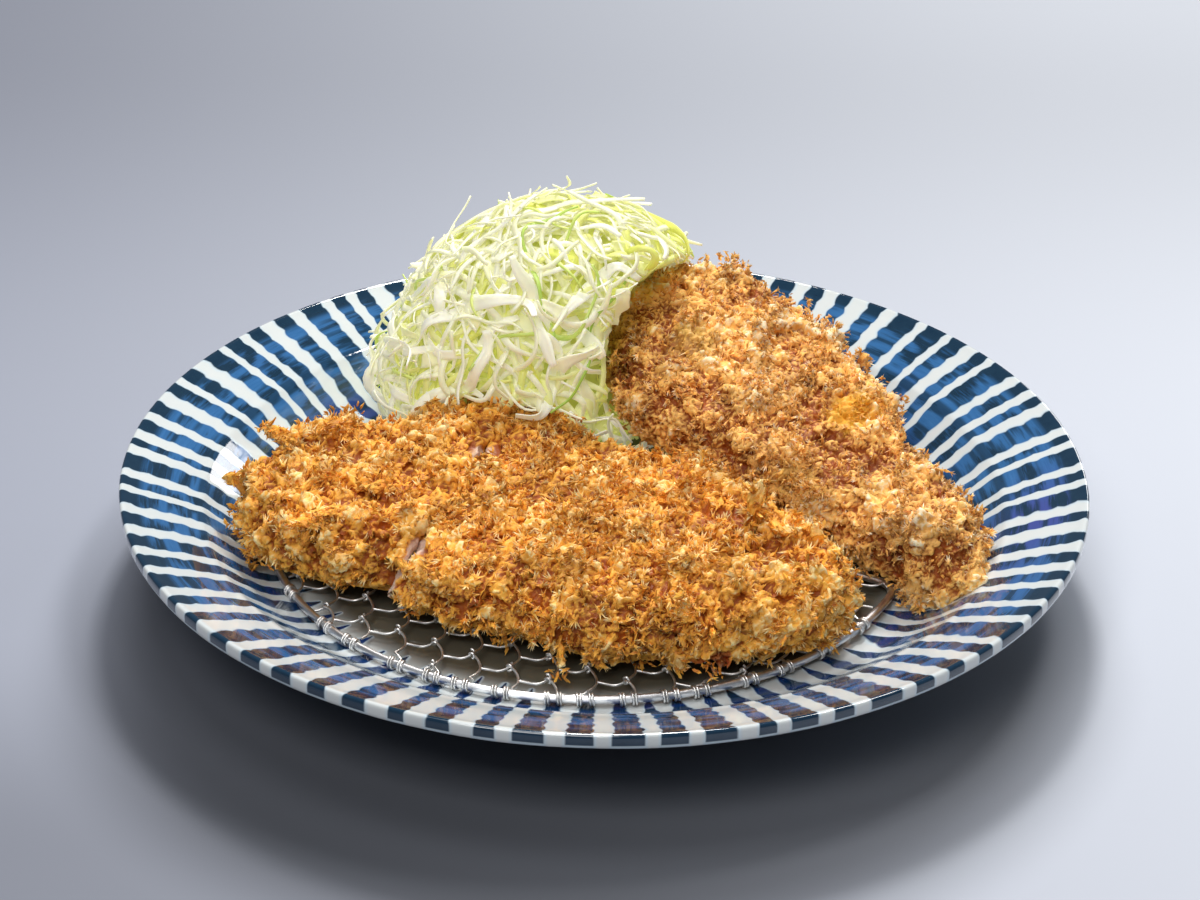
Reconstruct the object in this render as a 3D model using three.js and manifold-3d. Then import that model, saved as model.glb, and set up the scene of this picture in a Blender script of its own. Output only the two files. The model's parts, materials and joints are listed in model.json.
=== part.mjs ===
// Tonkatsu plate: a striped, rimmed porcelain plate with a half-moon wire draining rack in its well,
// a sliced breaded cutlet on the rack, a whole breaded cutlet leaning on a heap of shredded cabbage.
// Millimetres, +Z up. The origin is on the table, under the middle of the plate.

import * as THREE from 'three';
import { mergeVertices } from 'three/addons/utils/BufferGeometryUtils.js';
import Module from 'manifold-3d';

const wasm = await Module();
wasm.setup();

// ---------------------------------------------------------------- driving dimensions

const GAP = 0.3; // clearance between pieces that touch

const PLATE_RADIUS = 135;
const PLATE_HEIGHT = 34;
const LIP_THICKNESS = 4.2;
const RIDGE_RADIUS = 112.8; // where the flange breaks down into the well
const RIDGE_DROP = 8.8;
const WELL_RADIUS = 86;
const WELL_DEPTH = 21.5;
const FLOOR_THICKNESS = 4.5;
const FOOT_RADIUS = 68;
const FOOT_WIDTH = 6;
const PLATE_SIDES = 60;

const FRAME_WIRE = 2.2; // diameter of the bent rod round the rack
const FRAME_ARC_RADIUS = 90.2;
const FRAME_CENTRE = new THREE.Vector2(-3.8, -2.8);
const FRAME_TURN = THREE.MathUtils.degToRad(-29.4); // direction of the straight side
const FRAME_CHORD = 11.75; // how far the straight side lies past the arc's centre
const FRAME_CORNER = 6;
const FRAME_LEVEL = PLATE_HEIGHT - 18.5; // height of the rod's axis
const NET_WIRE = 0.8;
const NET_COLUMN = 10;
const NET_ROW = 11;
const NET_BULGE = 2.5; // how far a side wire bows out of its column
const NET_LEVEL = FRAME_LEVEL + 0.55;

const FRONT_TURN = THREE.MathUtils.degToRad(-15.66); // run of the sliced cutlet, square to its cuts
const FRONT_START = -94;
const FRONT_END = 80;
const FRONT_CUTS = [-38, -13, 9, 30, 47.5]; // where each cut crosses the middle of the height
const CUT_LEANS = [0.42, 0.3, 0.3, 0.26, 0.05]; // how far its top leans on to the next slice, per height
const FRONT_THICKNESS = 19.4;

const REAR_LOW_END = new THREE.Vector2(92, -42);
const REAR_TURN = THREE.MathUtils.degToRad(120);
const REAR_START = -10;
const REAR_END = 144;
const REAR_THICKNESS = 21.5;
const REAR_LOW_MIDDLE = PLATE_HEIGHT - 9.6; // height of the slab's middle at its low end
const REAR_RISE = 22.7; // how much higher its middle lies at the raised end
const REAR_ROLL = 0.05; // the long side next to the rack lies a little lower

const CRAG = 1.25; // height of the breading's relief
const CRAG_GRAIN = 8.5; // and the distance between its lumps

const SHRED_WIDTH = 2.2;
const SHRED_THICKNESS = 1;
const SHRED_COUNT = 26;
const SHRED_TURN = 2.4; // from one shred round the heap to the next

// ---------------------------------------------------------------- small tools

// Repeatable random numbers.
function seeded(seed) {
  let state = seed >>> 0;
  return () => {
    state = (Math.imul(state, 1664525) + 1013904223) >>> 0;
    return state / 4294967296;
  };
}

// A fixed number in -1..1 for each whole-numbered place.
function cellValue(x, y, z) {
  let h = Math.imul(x, 374761393) ^ Math.imul(y, 668265263) ^ Math.imul(z, 1274126177);
  h = Math.imul(h ^ (h >>> 13), 1103515245);
  return ((h ^ (h >>> 16)) >>> 0) / 2147483648 - 1;
}

// Smooth noise in -1..1, one lump to each unit.
function noise(x, y, z) {
  const [i, j, k] = [x, y, z].map(Math.floor);
  const [u, v, w] = [x - i, y - j, z - k].map((t) => t * t * (3 - 2 * t));
  const { lerp } = THREE.MathUtils;
  const edge = (dy, dz) => lerp(cellValue(i, j + dy, k + dz), cellValue(i + 1, j + dy, k + dz), u);
  const face = (dz) => lerp(edge(0, dz), edge(1, dz), v);
  return lerp(face(0), face(1), w);
}

// The breading's relief at a point, in millimetres: broad lumps with sharper crags on them.
function cragHeight(p) {
  const broad = noise(p.x / CRAG_GRAIN, p.y / CRAG_GRAIN, p.z / CRAG_GRAIN);
  const fine = noise(p.x / 4 + 31, p.y / 4, p.z / 4);
  return CRAG * (0.6 * broad + 0.9 * (0.5 - Math.abs(fine)));
}

// A smooth curve through points [s, value], sorted by s.
function through(points) {
  const slope = (i) => {
    const a = points[Math.max(i - 1, 0)];
    const b = points[Math.min(i + 1, points.length - 1)];
    return (b[1] - a[1]) / (b[0] - a[0]);
  };
  return (s) => {
    let i = 0;
    while (i < points.length - 2 && s > points[i + 1][0]) i++;
    const span = points[i + 1][0] - points[i][0];
    const t = THREE.MathUtils.clamp((s - points[i][0]) / span, 0, 1);
    const ease = t * t * (3 - 2 * t);
    const lean = slope(i) * t * (1 - t) * (1 - t) - slope(i + 1) * t * t * (1 - t);
    return THREE.MathUtils.lerp(points[i][1], points[i + 1][1], ease) + lean * span;
  };
}

// How full a rounded end is at a distance t from its tip, for an end of radius r.
function nose(t, r) {
  const x = THREE.MathUtils.clamp(t / r, 0, 1);
  return Math.sqrt(1 - (1 - x) * (1 - x));
}

function geometryOf(positions, index) {
  const geometry = new THREE.BufferGeometry();
  geometry.setAttribute('position', new THREE.Float32BufferAttribute(positions, 3));
  geometry.setIndex(index);
  geometry.computeVertexNormals();
  return geometry;
}

// Closed skin over rings of points, with a fan over each end. Seen along the run, the rings turn
// anticlockwise.
function loft(rings) {
  const sides = rings[0].length;
  const positions = rings.flat().flatMap((p) => [p.x, p.y, p.z]);
  const index = [];
  for (let k = 0; k < rings.length - 1; k++) {
    for (let j = 0; j < sides; j++) {
      const a = k * sides + j;
      const b = k * sides + ((j + 1) % sides);
      index.push(a, a + sides, b, b, a + sides, b + sides);
    }
  }
  [0, rings.length - 1].forEach((k) => {
    const middle = new THREE.Vector3();
    rings[k].forEach((p) => middle.addScaledVector(p, 1 / sides));
    const tip = positions.length / 3;
    positions.push(middle.x, middle.y, middle.z);
    for (let j = 0; j < sides; j++) {
      const a = k * sides + j;
      const b = k * sides + ((j + 1) % sides);
      index.push(...(k === 0 ? [tip, a, b] : [tip, b, a]));
    }
  });
  return geometryOf(positions, index);
}

function solidOf(geometry) {
  const bare = geometry.clone();
  bare.deleteAttribute('normal');
  bare.deleteAttribute('uv');
  const merged = mergeVertices(bare, 1e-4);
  const vertProperties = new Float32Array(merged.attributes.position.array);
  const triVerts = new Uint32Array(merged.index.array);
  return new wasm.Manifold(new wasm.Mesh({ numProp: 3, vertProperties, triVerts }));
}

// The largest connected piece of a solid, as a geometry.
function mainPiece(solid) {
  const pieces = solid.decompose();
  pieces.sort((a, b) => b.volume() - a.volume());
  const mesh = pieces[0].getMesh();
  return geometryOf(Array.from(mesh.vertProperties), Array.from(mesh.triVerts));
}

// ---------------------------------------------------------------- plate

// Upper face, from the middle of the well out to the lip: [radius, height].
const PLATE_TOP = [
  [0, PLATE_HEIGHT - WELL_DEPTH],
  [WELL_RADIUS, PLATE_HEIGHT - WELL_DEPTH + 0.2],
  [92, PLATE_HEIGHT - 20.9],
  [97.5, PLATE_HEIGHT - 19.6],
  [101.6, PLATE_HEIGHT - 17.8],
  [105, PLATE_HEIGHT - 15.3],
  [RIDGE_RADIUS - 1.2, PLATE_HEIGHT - RIDGE_DROP - 1],
  [RIDGE_RADIUS, PLATE_HEIGHT - RIDGE_DROP],
  [RIDGE_RADIUS + 2, PLATE_HEIGHT - RIDGE_DROP + 0.7],
  [PLATE_RADIUS - 2, PLATE_HEIGHT - 0.5],
];

const PLATE_LIP = [
  [PLATE_RADIUS - 0.8, PLATE_HEIGHT],
  [PLATE_RADIUS, PLATE_HEIGHT - 0.9],
  [PLATE_RADIUS, PLATE_HEIGHT - LIP_THICKNESS + 0.9],
  [PLATE_RADIUS - 1.2, PLATE_HEIGHT - LIP_THICKNESS],
];

// Underside, from the lip back to the axis, with the foot ring.
const PLATE_UNDER = [
  [RIDGE_RADIUS + 1, PLATE_HEIGHT - RIDGE_DROP - LIP_THICKNESS],
  [104, PLATE_HEIGHT - 19.5],
  [94, PLATE_HEIGHT - WELL_DEPTH - 2.6],
  [FOOT_RADIUS + 1.5, PLATE_HEIGHT - WELL_DEPTH - FLOOR_THICKNESS],
  [FOOT_RADIUS, 1],
  [FOOT_RADIUS - 1, 0],
  [FOOT_RADIUS - FOOT_WIDTH + 1, 0],
  [FOOT_RADIUS - FOOT_WIDTH, 1],
  [FOOT_RADIUS - FOOT_WIDTH - 1.5, PLATE_HEIGHT - WELL_DEPTH - FLOOR_THICKNESS],
  [0, PLATE_HEIGHT - WELL_DEPTH - FLOOR_THICKNESS],
];

function plateGeometry() {
  const profile = [...PLATE_TOP, ...PLATE_LIP, ...PLATE_UNDER].reverse();
  const lathe = new THREE.LatheGeometry(profile.map(([r, z]) => new THREE.Vector2(r, z)), PLATE_SIDES);
  lathe.rotateX(Math.PI / 2);
  return lathe;
}

// Height of the plate's upper face at a distance r from its axis.
function plateHeight(r) {
  const i = PLATE_TOP.findIndex(([radius]) => radius >= r);
  if (i < 0) return PLATE_HEIGHT;
  if (i === 0) return PLATE_TOP[0][1];
  const [a, b] = [PLATE_TOP[i - 1], PLATE_TOP[i]];
  return THREE.MathUtils.mapLinear(r, a[0], b[0], a[1], b[1]);
}

// Lifts a point to where it is clear of the plate.
function clearOfPlate(p) {
  p.z = Math.max(p.z, plateHeight(Math.hypot(p.x, p.y)) + GAP + 0.1);
  return p;
}

// ---------------------------------------------------------------- rack

// The half-moon's outline in plan, anticlockwise, moved inwards by an inset.
function rackOutline(inset) {
  const arc = FRAME_ARC_RADIUS - inset;
  const chord = FRAME_CHORD - inset;
  const corner = FRAME_CORNER - inset;
  const cornerX = Math.sqrt((arc - corner) ** 2 - (chord - corner) ** 2);
  const cornerTurn = Math.atan2(chord - corner, cornerX);
  const points = [];
  const sweep = (cx, cy, radius, from, to, steps) => {
    for (let i = 0; i <= steps; i++) {
      const a = THREE.MathUtils.lerp(from, to, i / steps);
      points.push(new THREE.Vector2(cx + radius * Math.cos(a), cy + radius * Math.sin(a)));
    }
  };
  sweep(-cornerX, chord - corner, corner, Math.PI / 2, Math.PI - cornerTurn, 4);
  sweep(0, 0, arc, Math.PI - cornerTurn, 2 * Math.PI + cornerTurn, 36);
  sweep(cornerX, chord - corner, corner, cornerTurn, Math.PI / 2, 4);
  const spread = points.filter((p, i) => i === 0 || p.distanceTo(points[i - 1]) > 0.1);
  return spread.map((p) => p.rotateAround(new THREE.Vector2(), FRAME_TURN).add(FRAME_CENTRE));
}

// One bent rod, closed on itself.
function rackFrameGeometry() {
  const path = rackOutline(0);
  const radius = FRAME_WIRE / 2;
  const sides = 6;
  const positions = [];
  const index = [];
  path.forEach((p, i) => {
    const next = path[(i + 1) % path.length];
    const last = path[(i - 1 + path.length) % path.length];
    const out = new THREE.Vector2(next.y - last.y, last.x - next.x).normalize();
    for (let j = 0; j < sides; j++) {
      const a = ((j + 0.5) / sides) * 2 * Math.PI;
      const reach = radius * Math.cos(a);
      positions.push(p.x + out.x * reach, p.y + out.y * reach, FRAME_LEVEL + radius * Math.sin(a));
    }
    for (let j = 0; j < sides; j++) {
      const a = i * sides + j;
      const b = i * sides + ((j + 1) % sides);
      const c = ((i + 1) % path.length) * sides + j;
      const d = ((i + 1) % path.length) * sides + ((j + 1) % sides);
      index.push(a, c, b, b, c, d);
    }
  });
  return geometryOf(positions, index);
}

// One six-sided opening of the net, as a prism that cuts right through it.
function netOpening(x, y) {
  const halfWire = NET_WIRE / 2;
  const high = NET_ROW / 2 - halfWire;
  const corners = [
    [NET_BULGE + halfWire * 0.4, -high],
    [NET_COLUMN - halfWire * 0.4, -high],
    [NET_COLUMN + NET_BULGE - halfWire, 0],
    [NET_COLUMN - halfWire * 0.4, high],
    [NET_BULGE + halfWire * 0.4, high],
    [halfWire, 0],
  ];
  const shape = new THREE.Shape(corners.map(([dx, dy]) => new THREE.Vector2(x + dx, y + dy)));
  const prism = new THREE.ExtrudeGeometry(shape, { depth: 3 * NET_WIRE, bevelEnabled: false });
  return solidOf(prism.translate(0, 0, NET_LEVEL - 1.5 * NET_WIRE));
}

// The room that the rack takes, from under the plate's floor up to a little over the rod.
function rackRoom() {
  const outline = new THREE.Shape(rackOutline(-FRAME_WIRE / 2 - GAP));
  const depth = FRAME_LEVEL + FRAME_WIRE / 2 + GAP;
  return new THREE.ExtrudeGeometry(outline, { depth, bevelEnabled: false });
}

function rackNetGeometry() {
  const outline = new THREE.Shape(rackOutline(FRAME_WIRE / 2 + GAP));
  const sheet = new THREE.ExtrudeGeometry(outline, { depth: NET_WIRE, bevelEnabled: false });
  sheet.translate(0, 0, NET_LEVEL - NET_WIRE / 2);
  const openings = [];
  for (let i = -10; i <= 9; i++) {
    for (let k = -10; k <= 9; k++) {
      const x = FRAME_CENTRE.x + i * NET_COLUMN;
      const y = FRAME_CENTRE.y + (k + (i % 2 ? 0.5 : 0)) * NET_ROW;
      openings.push(netOpening(x, y));
    }
  }
  return mainPiece(solidOf(sheet).subtract(wasm.Manifold.union(openings)));
}

// ---------------------------------------------------------------- cutlets

// A point of a flat section with round edges, half-width a and half-thickness b, at a share of its
// outline that starts in the middle of the top. Gives [across, up, outward across, outward up].
function sectionPoint(a, b, share) {
  const flat = Math.max(a - b, 0);
  const bend = Math.min(a, b);
  const length = 4 * flat + 2 * Math.PI * bend;
  let t = share * length;
  if (t < flat) return [t, b, 0, 1];
  t -= flat;
  if (t < Math.PI * bend) {
    const turn = t / bend;
    return [flat + bend * Math.sin(turn), b * Math.cos(turn), Math.sin(turn), Math.cos(turn)];
  }
  t -= Math.PI * bend;
  if (t < 2 * flat) return [flat - t, -b, 0, -1];
  t -= 2 * flat;
  if (t < Math.PI * bend) {
    const turn = t / bend;
    return [-flat - bend * Math.sin(turn), -b * Math.cos(turn), -Math.sin(turn), -Math.cos(turn)];
  }
  return [-flat + t - Math.PI * bend, b, 0, 1];
}

// A breaded piece: sections at steps along its run, between two long edges. A free end is rounded in
// plan and in height, and a cut end is flat and may lean. Grown, it is the same piece with room left
// all round it.
function cutletPiece(spec) {
  const { stations, sides, edgeLow, edgeHigh, thickness, place, leans = [0, 0], grow = 0 } = spec;
  const length = stations[stations.length - 1] - stations[0];
  const rings = stations.map((s) => {
    const fromEnds = [s - spec.start + 0.4, spec.end - s + 0.4];
    const plan = Math.min(...fromEnds.map((t, i) => nose(t, spec.endRadii[i])));
    const height = Math.min(...fromEnds.map((t) => nose(t, thickness / 2)));
    const middle = (edgeLow(s) + edgeHigh(s)) / 2;
    const half = ((edgeHigh(s) - edgeLow(s)) / 2) * plan;
    const share = (s - stations[0]) / length;
    const run = s + grow * (2 * share - 1);
    const lean = THREE.MathUtils.lerp(leans[0], leans[1], share);
    const ring = [];
    for (let j = 0; j < sides; j++) {
      const [across, up, outAcross, outUp] = sectionPoint(half, (thickness / 2) * height, j / sides);
      const crown = spec.crown * (1 - (across / half) ** 2) * height * (up > 0 ? 1 : 0);
      const relief = (outUp < -0.5 ? 0.3 : 1) * cragHeight(place(s, middle + across, up)) * height + grow;
      const level = up + crown + outUp * relief;
      ring.push(place(run + lean * level, middle + across + outAcross * relief, level));
    }
    return ring;
  });
  return loft(rings.map((ring) => ring.map(spec.settle)));
}

// Steps from one place to another, closer together near a free end.
function stationsBetween(from, to, step, freeStart, freeEnd) {
  const noseSteps = [0, 1.2, 3.4, 7];
  const stations = [];
  if (freeStart) stations.push(...noseSteps.map((t) => from + t));
  const first = freeStart ? from + 12 : from;
  const last = freeEnd ? to - 12 : to;
  const count = Math.max(1, Math.round((last - first) / step));
  for (let i = 0; i <= count; i++) stations.push(THREE.MathUtils.lerp(first, last, i / count));
  if (freeEnd) stations.push(...noseSteps.map((t) => to - t).reverse());
  return stations;
}

const frontEdgeNear = through([
  [-94, -56], [-78, -63], [-58, -68], [-38, -67], [-30, -71], [-12, -77], [10, -78], [24, -80],
  [46, -74], [65, -65], [80, -57],
]);
const frontEdgeFar = through([
  [-94, -5], [-82, 3.5], [-66, 0], [-56, 18], [-37, 30], [-24, 26], [-11, 14], [9, 10], [26, 7],
  [42, -4], [60, -15], [80, -29],
]);

// Slice by slice: how far it has slid along its cut, and how much it stands out above the rest.
const SLICE_SLIDE = [0, -2.2, 0.6, -1.2, 0.8, -0.6];
const SLICE_LIFT = [0.6, 0, 0.4, -0.3, 0.2, 0.8];
const SLICE_GAP = [2, 0.7, 0.6, 0.6, 0.8];

function frontSlice(i, grow = 0) {
  const first = i === 0;
  const last = i === FRONT_CUTS.length;
  const start = first ? FRONT_START : FRONT_CUTS[i - 1] + SLICE_GAP[i - 1] / 2;
  const end = last ? FRONT_END : FRONT_CUTS[i] - SLICE_GAP[i] / 2;
  const rest = FRAME_LEVEL + FRAME_WIRE / 2 + GAP;
  const thickness = FRONT_THICKNESS + SLICE_LIFT[i];
  return cutletPiece({
    stations: stationsBetween(start, end, 5, first, last),
    sides: 26,
    start: first ? start : -1000,
    end: last ? end : 1000,
    endRadii: [15, 15],
    edgeLow: (s) => frontEdgeNear(s) + SLICE_SLIDE[i],
    edgeHigh: (s) => frontEdgeFar(s) + SLICE_SLIDE[i],
    thickness,
    crown: 1.6,
    leans: [CUT_LEANS[i - 1] ?? 0, CUT_LEANS[i] ?? 0],
    grow,
    place: (s, w, up) => new THREE.Vector3(
      s * Math.cos(FRONT_TURN) - w * Math.sin(FRONT_TURN),
      s * Math.sin(FRONT_TURN) + w * Math.cos(FRONT_TURN),
      rest + thickness / 2 + up,
    ),
    settle: (p) => {
      p.z = Math.max(p.z, rest - grow);
      return clearOfPlate(p);
    },
  });
}

const rearEdgeOuter = through([
  [-10, -10], [2, -14], [14, -18.5], [34, -22], [68, -26], [93, -25], [116, -26], [130, -25], [144, -22],
]);
const rearEdgeInner = through([
  [-10, 9], [2, 12], [15, 15], [30, 21], [53, 29], [72, 34], [86, 41], [99, 44], [113, 41],
  [126, 34], [144, 22],
]);

function rearCutlet(grow = 0) {
  const along = new THREE.Vector2(Math.cos(REAR_TURN), Math.sin(REAR_TURN));
  return cutletPiece({
    stations: stationsBetween(REAR_START, REAR_END, 8, true, true),
    sides: 24,
    start: REAR_START,
    end: REAR_END,
    endRadii: [22, 22],
    edgeLow: rearEdgeOuter,
    edgeHigh: rearEdgeInner,
    thickness: REAR_THICKNESS,
    crown: 1.8,
    grow,
    place: (s, w, up) => new THREE.Vector3(
      REAR_LOW_END.x + s * along.x - w * along.y,
      REAR_LOW_END.y + s * along.y + w * along.x,
      REAR_LOW_MIDDLE + (REAR_RISE * s) / REAR_END - REAR_ROLL * w + up,
    ),
    settle: clearOfPlate,
  });
}

// ---------------------------------------------------------------- cabbage

// The heap's packed inside, layer by layer: [height above the rim, centre x, centre y, half-widths].
const HEAP_LAYERS = [
  [-22, -22, 57, 33, 29], [-12, -22, 58, 41, 34], [-2, -21, 58, 45, 37], [9, -18, 58, 44, 37],
  [20, -15, 59, 42, 35], [30, -12, 60, 40, 32], [39, -10, 61, 33, 27], [46, -9, 62, 22, 18],
  [50, -9, 62, 9, 8],
];

function heapCore() {
  const sides = 22;
  const rings = HEAP_LAYERS.map(([level, x, y, halfX, halfY]) => {
    const ring = [];
    for (let j = 0; j < sides; j++) {
      const a = (-j / sides) * 2 * Math.PI;
      const lump = 1 + 0.09 * noise(3 * Math.cos(a) + 9, 3 * Math.sin(a), level / 9);
      const z = PLATE_HEIGHT + level;
      ring.push(new THREE.Vector3(x + halfX * lump * Math.cos(a), y + halfY * lump * Math.sin(a), z));
    }
    return ring.map(clearOfPlate);
  });
  return solidOf(loft(rings));
}

// The heap's surface in a direction: an azimuth, and a height share from its foot (0) to its top (1).
function heapPoint(azimuth, share, standOff) {
  const at = share * (HEAP_LAYERS.length - 1);
  const i = Math.min(Math.floor(at), HEAP_LAYERS.length - 2);
  const mix = HEAP_LAYERS[i].map((v, k) => THREE.MathUtils.lerp(v, HEAP_LAYERS[i + 1][k], at - i));
  const [level, x, y, halfX, halfY] = mix;
  const flat = 1 - Math.max(0, share - 0.75) * 2;
  return new THREE.Vector3(
    x + (halfX + standOff * flat) * Math.cos(azimuth),
    y + (halfY + standOff * flat) * Math.sin(azimuth),
    PLATE_HEIGHT + level + standOff * (share > 0.5 ? share - 0.3 : 0),
  );
}

// One shred: a ribbon that leaves the heap, bows out over it and dives back in.
function shred(i, random) {
  const azimuth = i * SHRED_TURN + 0.4 * random();
  const share = 0.2 + (0.72 * (i + random())) / SHRED_COUNT;
  const reach = (random() < 0.5 ? -1 : 1) * (0.5 + 0.5 * random());
  const climb = (random() - 0.5) * 0.34;
  const bow = 5.5 + 5 * random();
  const at = (t, standOff) =>
    heapPoint(azimuth + reach * t, THREE.MathUtils.clamp(share + climb * t, 0.15, 0.98), standOff);
  const path = new THREE.CatmullRomCurve3([
    at(-0.5, -4), at(-0.3, bow * 0.5), at(0, bow), at(0.28, bow * 0.45), at(0.5, -4),
  ]);
  const section = new THREE.Shape([
    new THREE.Vector2(-SHRED_THICKNESS / 2, -SHRED_WIDTH / 2),
    new THREE.Vector2(SHRED_THICKNESS / 2, -SHRED_WIDTH / 2),
    new THREE.Vector2(SHRED_THICKNESS / 2, SHRED_WIDTH / 2),
    new THREE.Vector2(-SHRED_THICKNESS / 2, SHRED_WIDTH / 2),
  ]);
  return solidOf(new THREE.ExtrudeGeometry(section, { extrudePath: path, steps: 6, bevelEnabled: false }));
}

function cabbageGeometry(neighbours) {
  const random = seeded(41);
  const shreds = Array.from({ length: SHRED_COUNT }, (_, i) => shred(i, random));
  const heap = wasm.Manifold.union([heapCore(), ...shreds]);
  return mainPiece(heap.subtract(wasm.Manifold.union(neighbours.map(solidOf))));
}

// ---------------------------------------------------------------- assembly

const glaze = new THREE.MeshStandardMaterial({ color: 0xdfe3e2, roughness: 0.12, metalness: 0 });
const steel = new THREE.MeshStandardMaterial({ color: 0xb9babd, roughness: 0.25, metalness: 1 });
const wire = new THREE.MeshStandardMaterial({ color: 0xc9c6c4, roughness: 0.3, metalness: 1 });
const goldenCrust = new THREE.MeshStandardMaterial({ color: 0xd99136, roughness: 0.7, metalness: 0 });
const brownCrust = new THREE.MeshStandardMaterial({ color: 0xc4823a, roughness: 0.75, metalness: 0 });
const leafGreen = new THREE.MeshStandardMaterial({ color: 0xdbe6a0, roughness: 0.5, metalness: 0 });

const tonkatsuPlate = new THREE.Group();

function add(name, geometry, material) {
  const mesh = new THREE.Mesh(geometry, material);
  mesh.name = name;
  tonkatsuPlate.add(mesh);
}

add('plate', plateGeometry(), glaze);
add('rack_frame', rackFrameGeometry(), steel);
add('rack_net', rackNetGeometry(), wire);
for (let i = 0; i <= FRONT_CUTS.length; i++) add(`cutlet_slice_${i + 1}`, frontSlice(i), goldenCrust);
const rearSolid = solidOf(rearCutlet()).subtract(solidOf(rackRoom()));
add('rear_cutlet', mainPiece(rearSolid), brownCrust);

const sliceClearances = [0, 1, 2, 3].map((i) => frontSlice(i, GAP + 0.2));
const plateClearance = plateGeometry().translate(0, 0, GAP + 0.05);
// The heap is pushed aside in front of the rear cutlet's raised end as well.
const rearRoom = [0, 12, 25, 38].map((step) =>
  rearCutlet(GAP + 0.2).translate(0, -0.88 * step, 0.48 * step));
const neighbours = [...sliceClearances, ...rearRoom, plateClearance, rackRoom()];
add('cabbage', cabbageGeometry(neighbours), leafGreen);

export default tonkatsuPlate;
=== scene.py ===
"""Tonkatsu plate: a porcelain plate with painted stripes, a wire draining rack in its well, a sliced
breaded cutlet on the rack, and a whole cutlet that leans on a heap of shredded cabbage.

Lengths are in millimetres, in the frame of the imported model, and MM turns them into Blender's metres.
"""
import json
import math
from contextlib import contextmanager

import bpy
import numpy as np
from mathutils import Matrix, Vector
from mathutils.bvhtree import BVHTree
from mathutils.kdtree import KDTree

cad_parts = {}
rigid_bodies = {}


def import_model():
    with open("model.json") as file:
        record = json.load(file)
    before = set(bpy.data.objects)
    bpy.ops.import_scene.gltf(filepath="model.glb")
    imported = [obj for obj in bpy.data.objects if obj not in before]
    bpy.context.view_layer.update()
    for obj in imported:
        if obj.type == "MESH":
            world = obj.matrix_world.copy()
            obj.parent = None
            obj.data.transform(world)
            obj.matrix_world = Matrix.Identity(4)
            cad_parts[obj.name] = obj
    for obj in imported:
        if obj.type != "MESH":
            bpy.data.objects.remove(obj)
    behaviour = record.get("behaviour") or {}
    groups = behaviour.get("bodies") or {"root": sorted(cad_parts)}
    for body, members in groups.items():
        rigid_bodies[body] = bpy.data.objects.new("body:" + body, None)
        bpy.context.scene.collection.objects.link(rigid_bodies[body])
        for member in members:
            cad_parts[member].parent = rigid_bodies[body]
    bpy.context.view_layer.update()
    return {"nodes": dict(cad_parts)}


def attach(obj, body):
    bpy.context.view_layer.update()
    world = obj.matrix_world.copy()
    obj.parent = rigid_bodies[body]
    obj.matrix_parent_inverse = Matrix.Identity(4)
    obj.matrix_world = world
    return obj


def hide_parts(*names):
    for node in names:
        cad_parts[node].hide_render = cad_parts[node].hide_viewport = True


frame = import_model()

MM = 0.001

# ---------------------------------------------------------------- sizes, as in the solids

PLATE_RADIUS = 135
PLATE_HEIGHT = 34
LIP_THICKNESS = 4.2
RIDGE_RADIUS = 112.8
RIDGE_DROP = 8.8
WELL_RADIUS = 86
WELL_DEPTH = 21.5
FLOOR_THICKNESS = 4.5
FOOT_RADIUS = 68
FOOT_WIDTH = 6

FRAME_WIRE = 2.2
FRAME_ARC_RADIUS = 90.2
FRAME_CENTRE = np.array([-3.8, -2.8])
FRAME_TURN = math.radians(-29.4)
FRAME_CHORD = 11.75
FRAME_CORNER = 6
FRAME_LEVEL = PLATE_HEIGHT - 18.5
FRAME_AXES = np.array([
    [math.cos(FRAME_TURN), math.sin(FRAME_TURN)],
    [-math.sin(FRAME_TURN), math.cos(FRAME_TURN)],
])
WINDING_STEP = 3.1  # how far apart two windings round the rod lie, along it
WINDING_TURNS = 2
NET_WIRE = 0.72
NET_COLUMN = 10
NET_ROW = 11
NET_BULGE = 2.5
NET_REACH = 10  # columns and rows on each side of the net's middle
NET_LEVEL = FRAME_LEVEL + 0.55

FRONT_TURN = math.radians(-15.66)
FRONT_CUTS = [-38, -13, 9, 30, 47.5]
CUT_LEANS = [0.42, 0.3, 0.3, 0.26, 0.05]
FRONT_THICKNESS = 19.4
SLICE_LIFT = [0.6, 0, 0.4, -0.3, 0.2, 0.8]
SLICE_GAP = [2, 0.7, 0.6, 0.6, 0.8]
FRONT_REST = FRAME_LEVEL + FRAME_WIRE / 2 + 0.3
SLICES = len(FRONT_CUTS) + 1

PLATE_TOP_POINTS = 19  # how many points of the plate's profile lie on its upper face
SHRED_CLEARANCE = 2.2
SHRED_THICKNESS = 0.35
FEWEST_POINTS = 6  # a shred's line has to be longer than this
NEIGHBOUR_REACH = 14  # how near the plate, the rack or a cutlet turns a shred away
HEAP_TOP = 87
HEAP_MIDDLE = np.array([-12.0, 62.0])
HEAP_CURVE = 0.0125
HEAP_SLOPE = 0.5
HEAP_EASE = 3  # how far under the heap's outline a shred begins to turn along it
SIGHT = (0, 0.876, -0.482)  # the way a diner looks at the dish
FAR = 1000.0  # stands for no cut face near
CUT_SHOWS = ((-80, -44), (-8, 6))  # where the widest cut stays open, along Y


# ---------------------------------------------------------------- camera, floor and light

LIT = Vector((0, 0, 20))  # what every light faces


def link(thing):
    bpy.context.scene.collection.objects.link(thing)
    return thing


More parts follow.
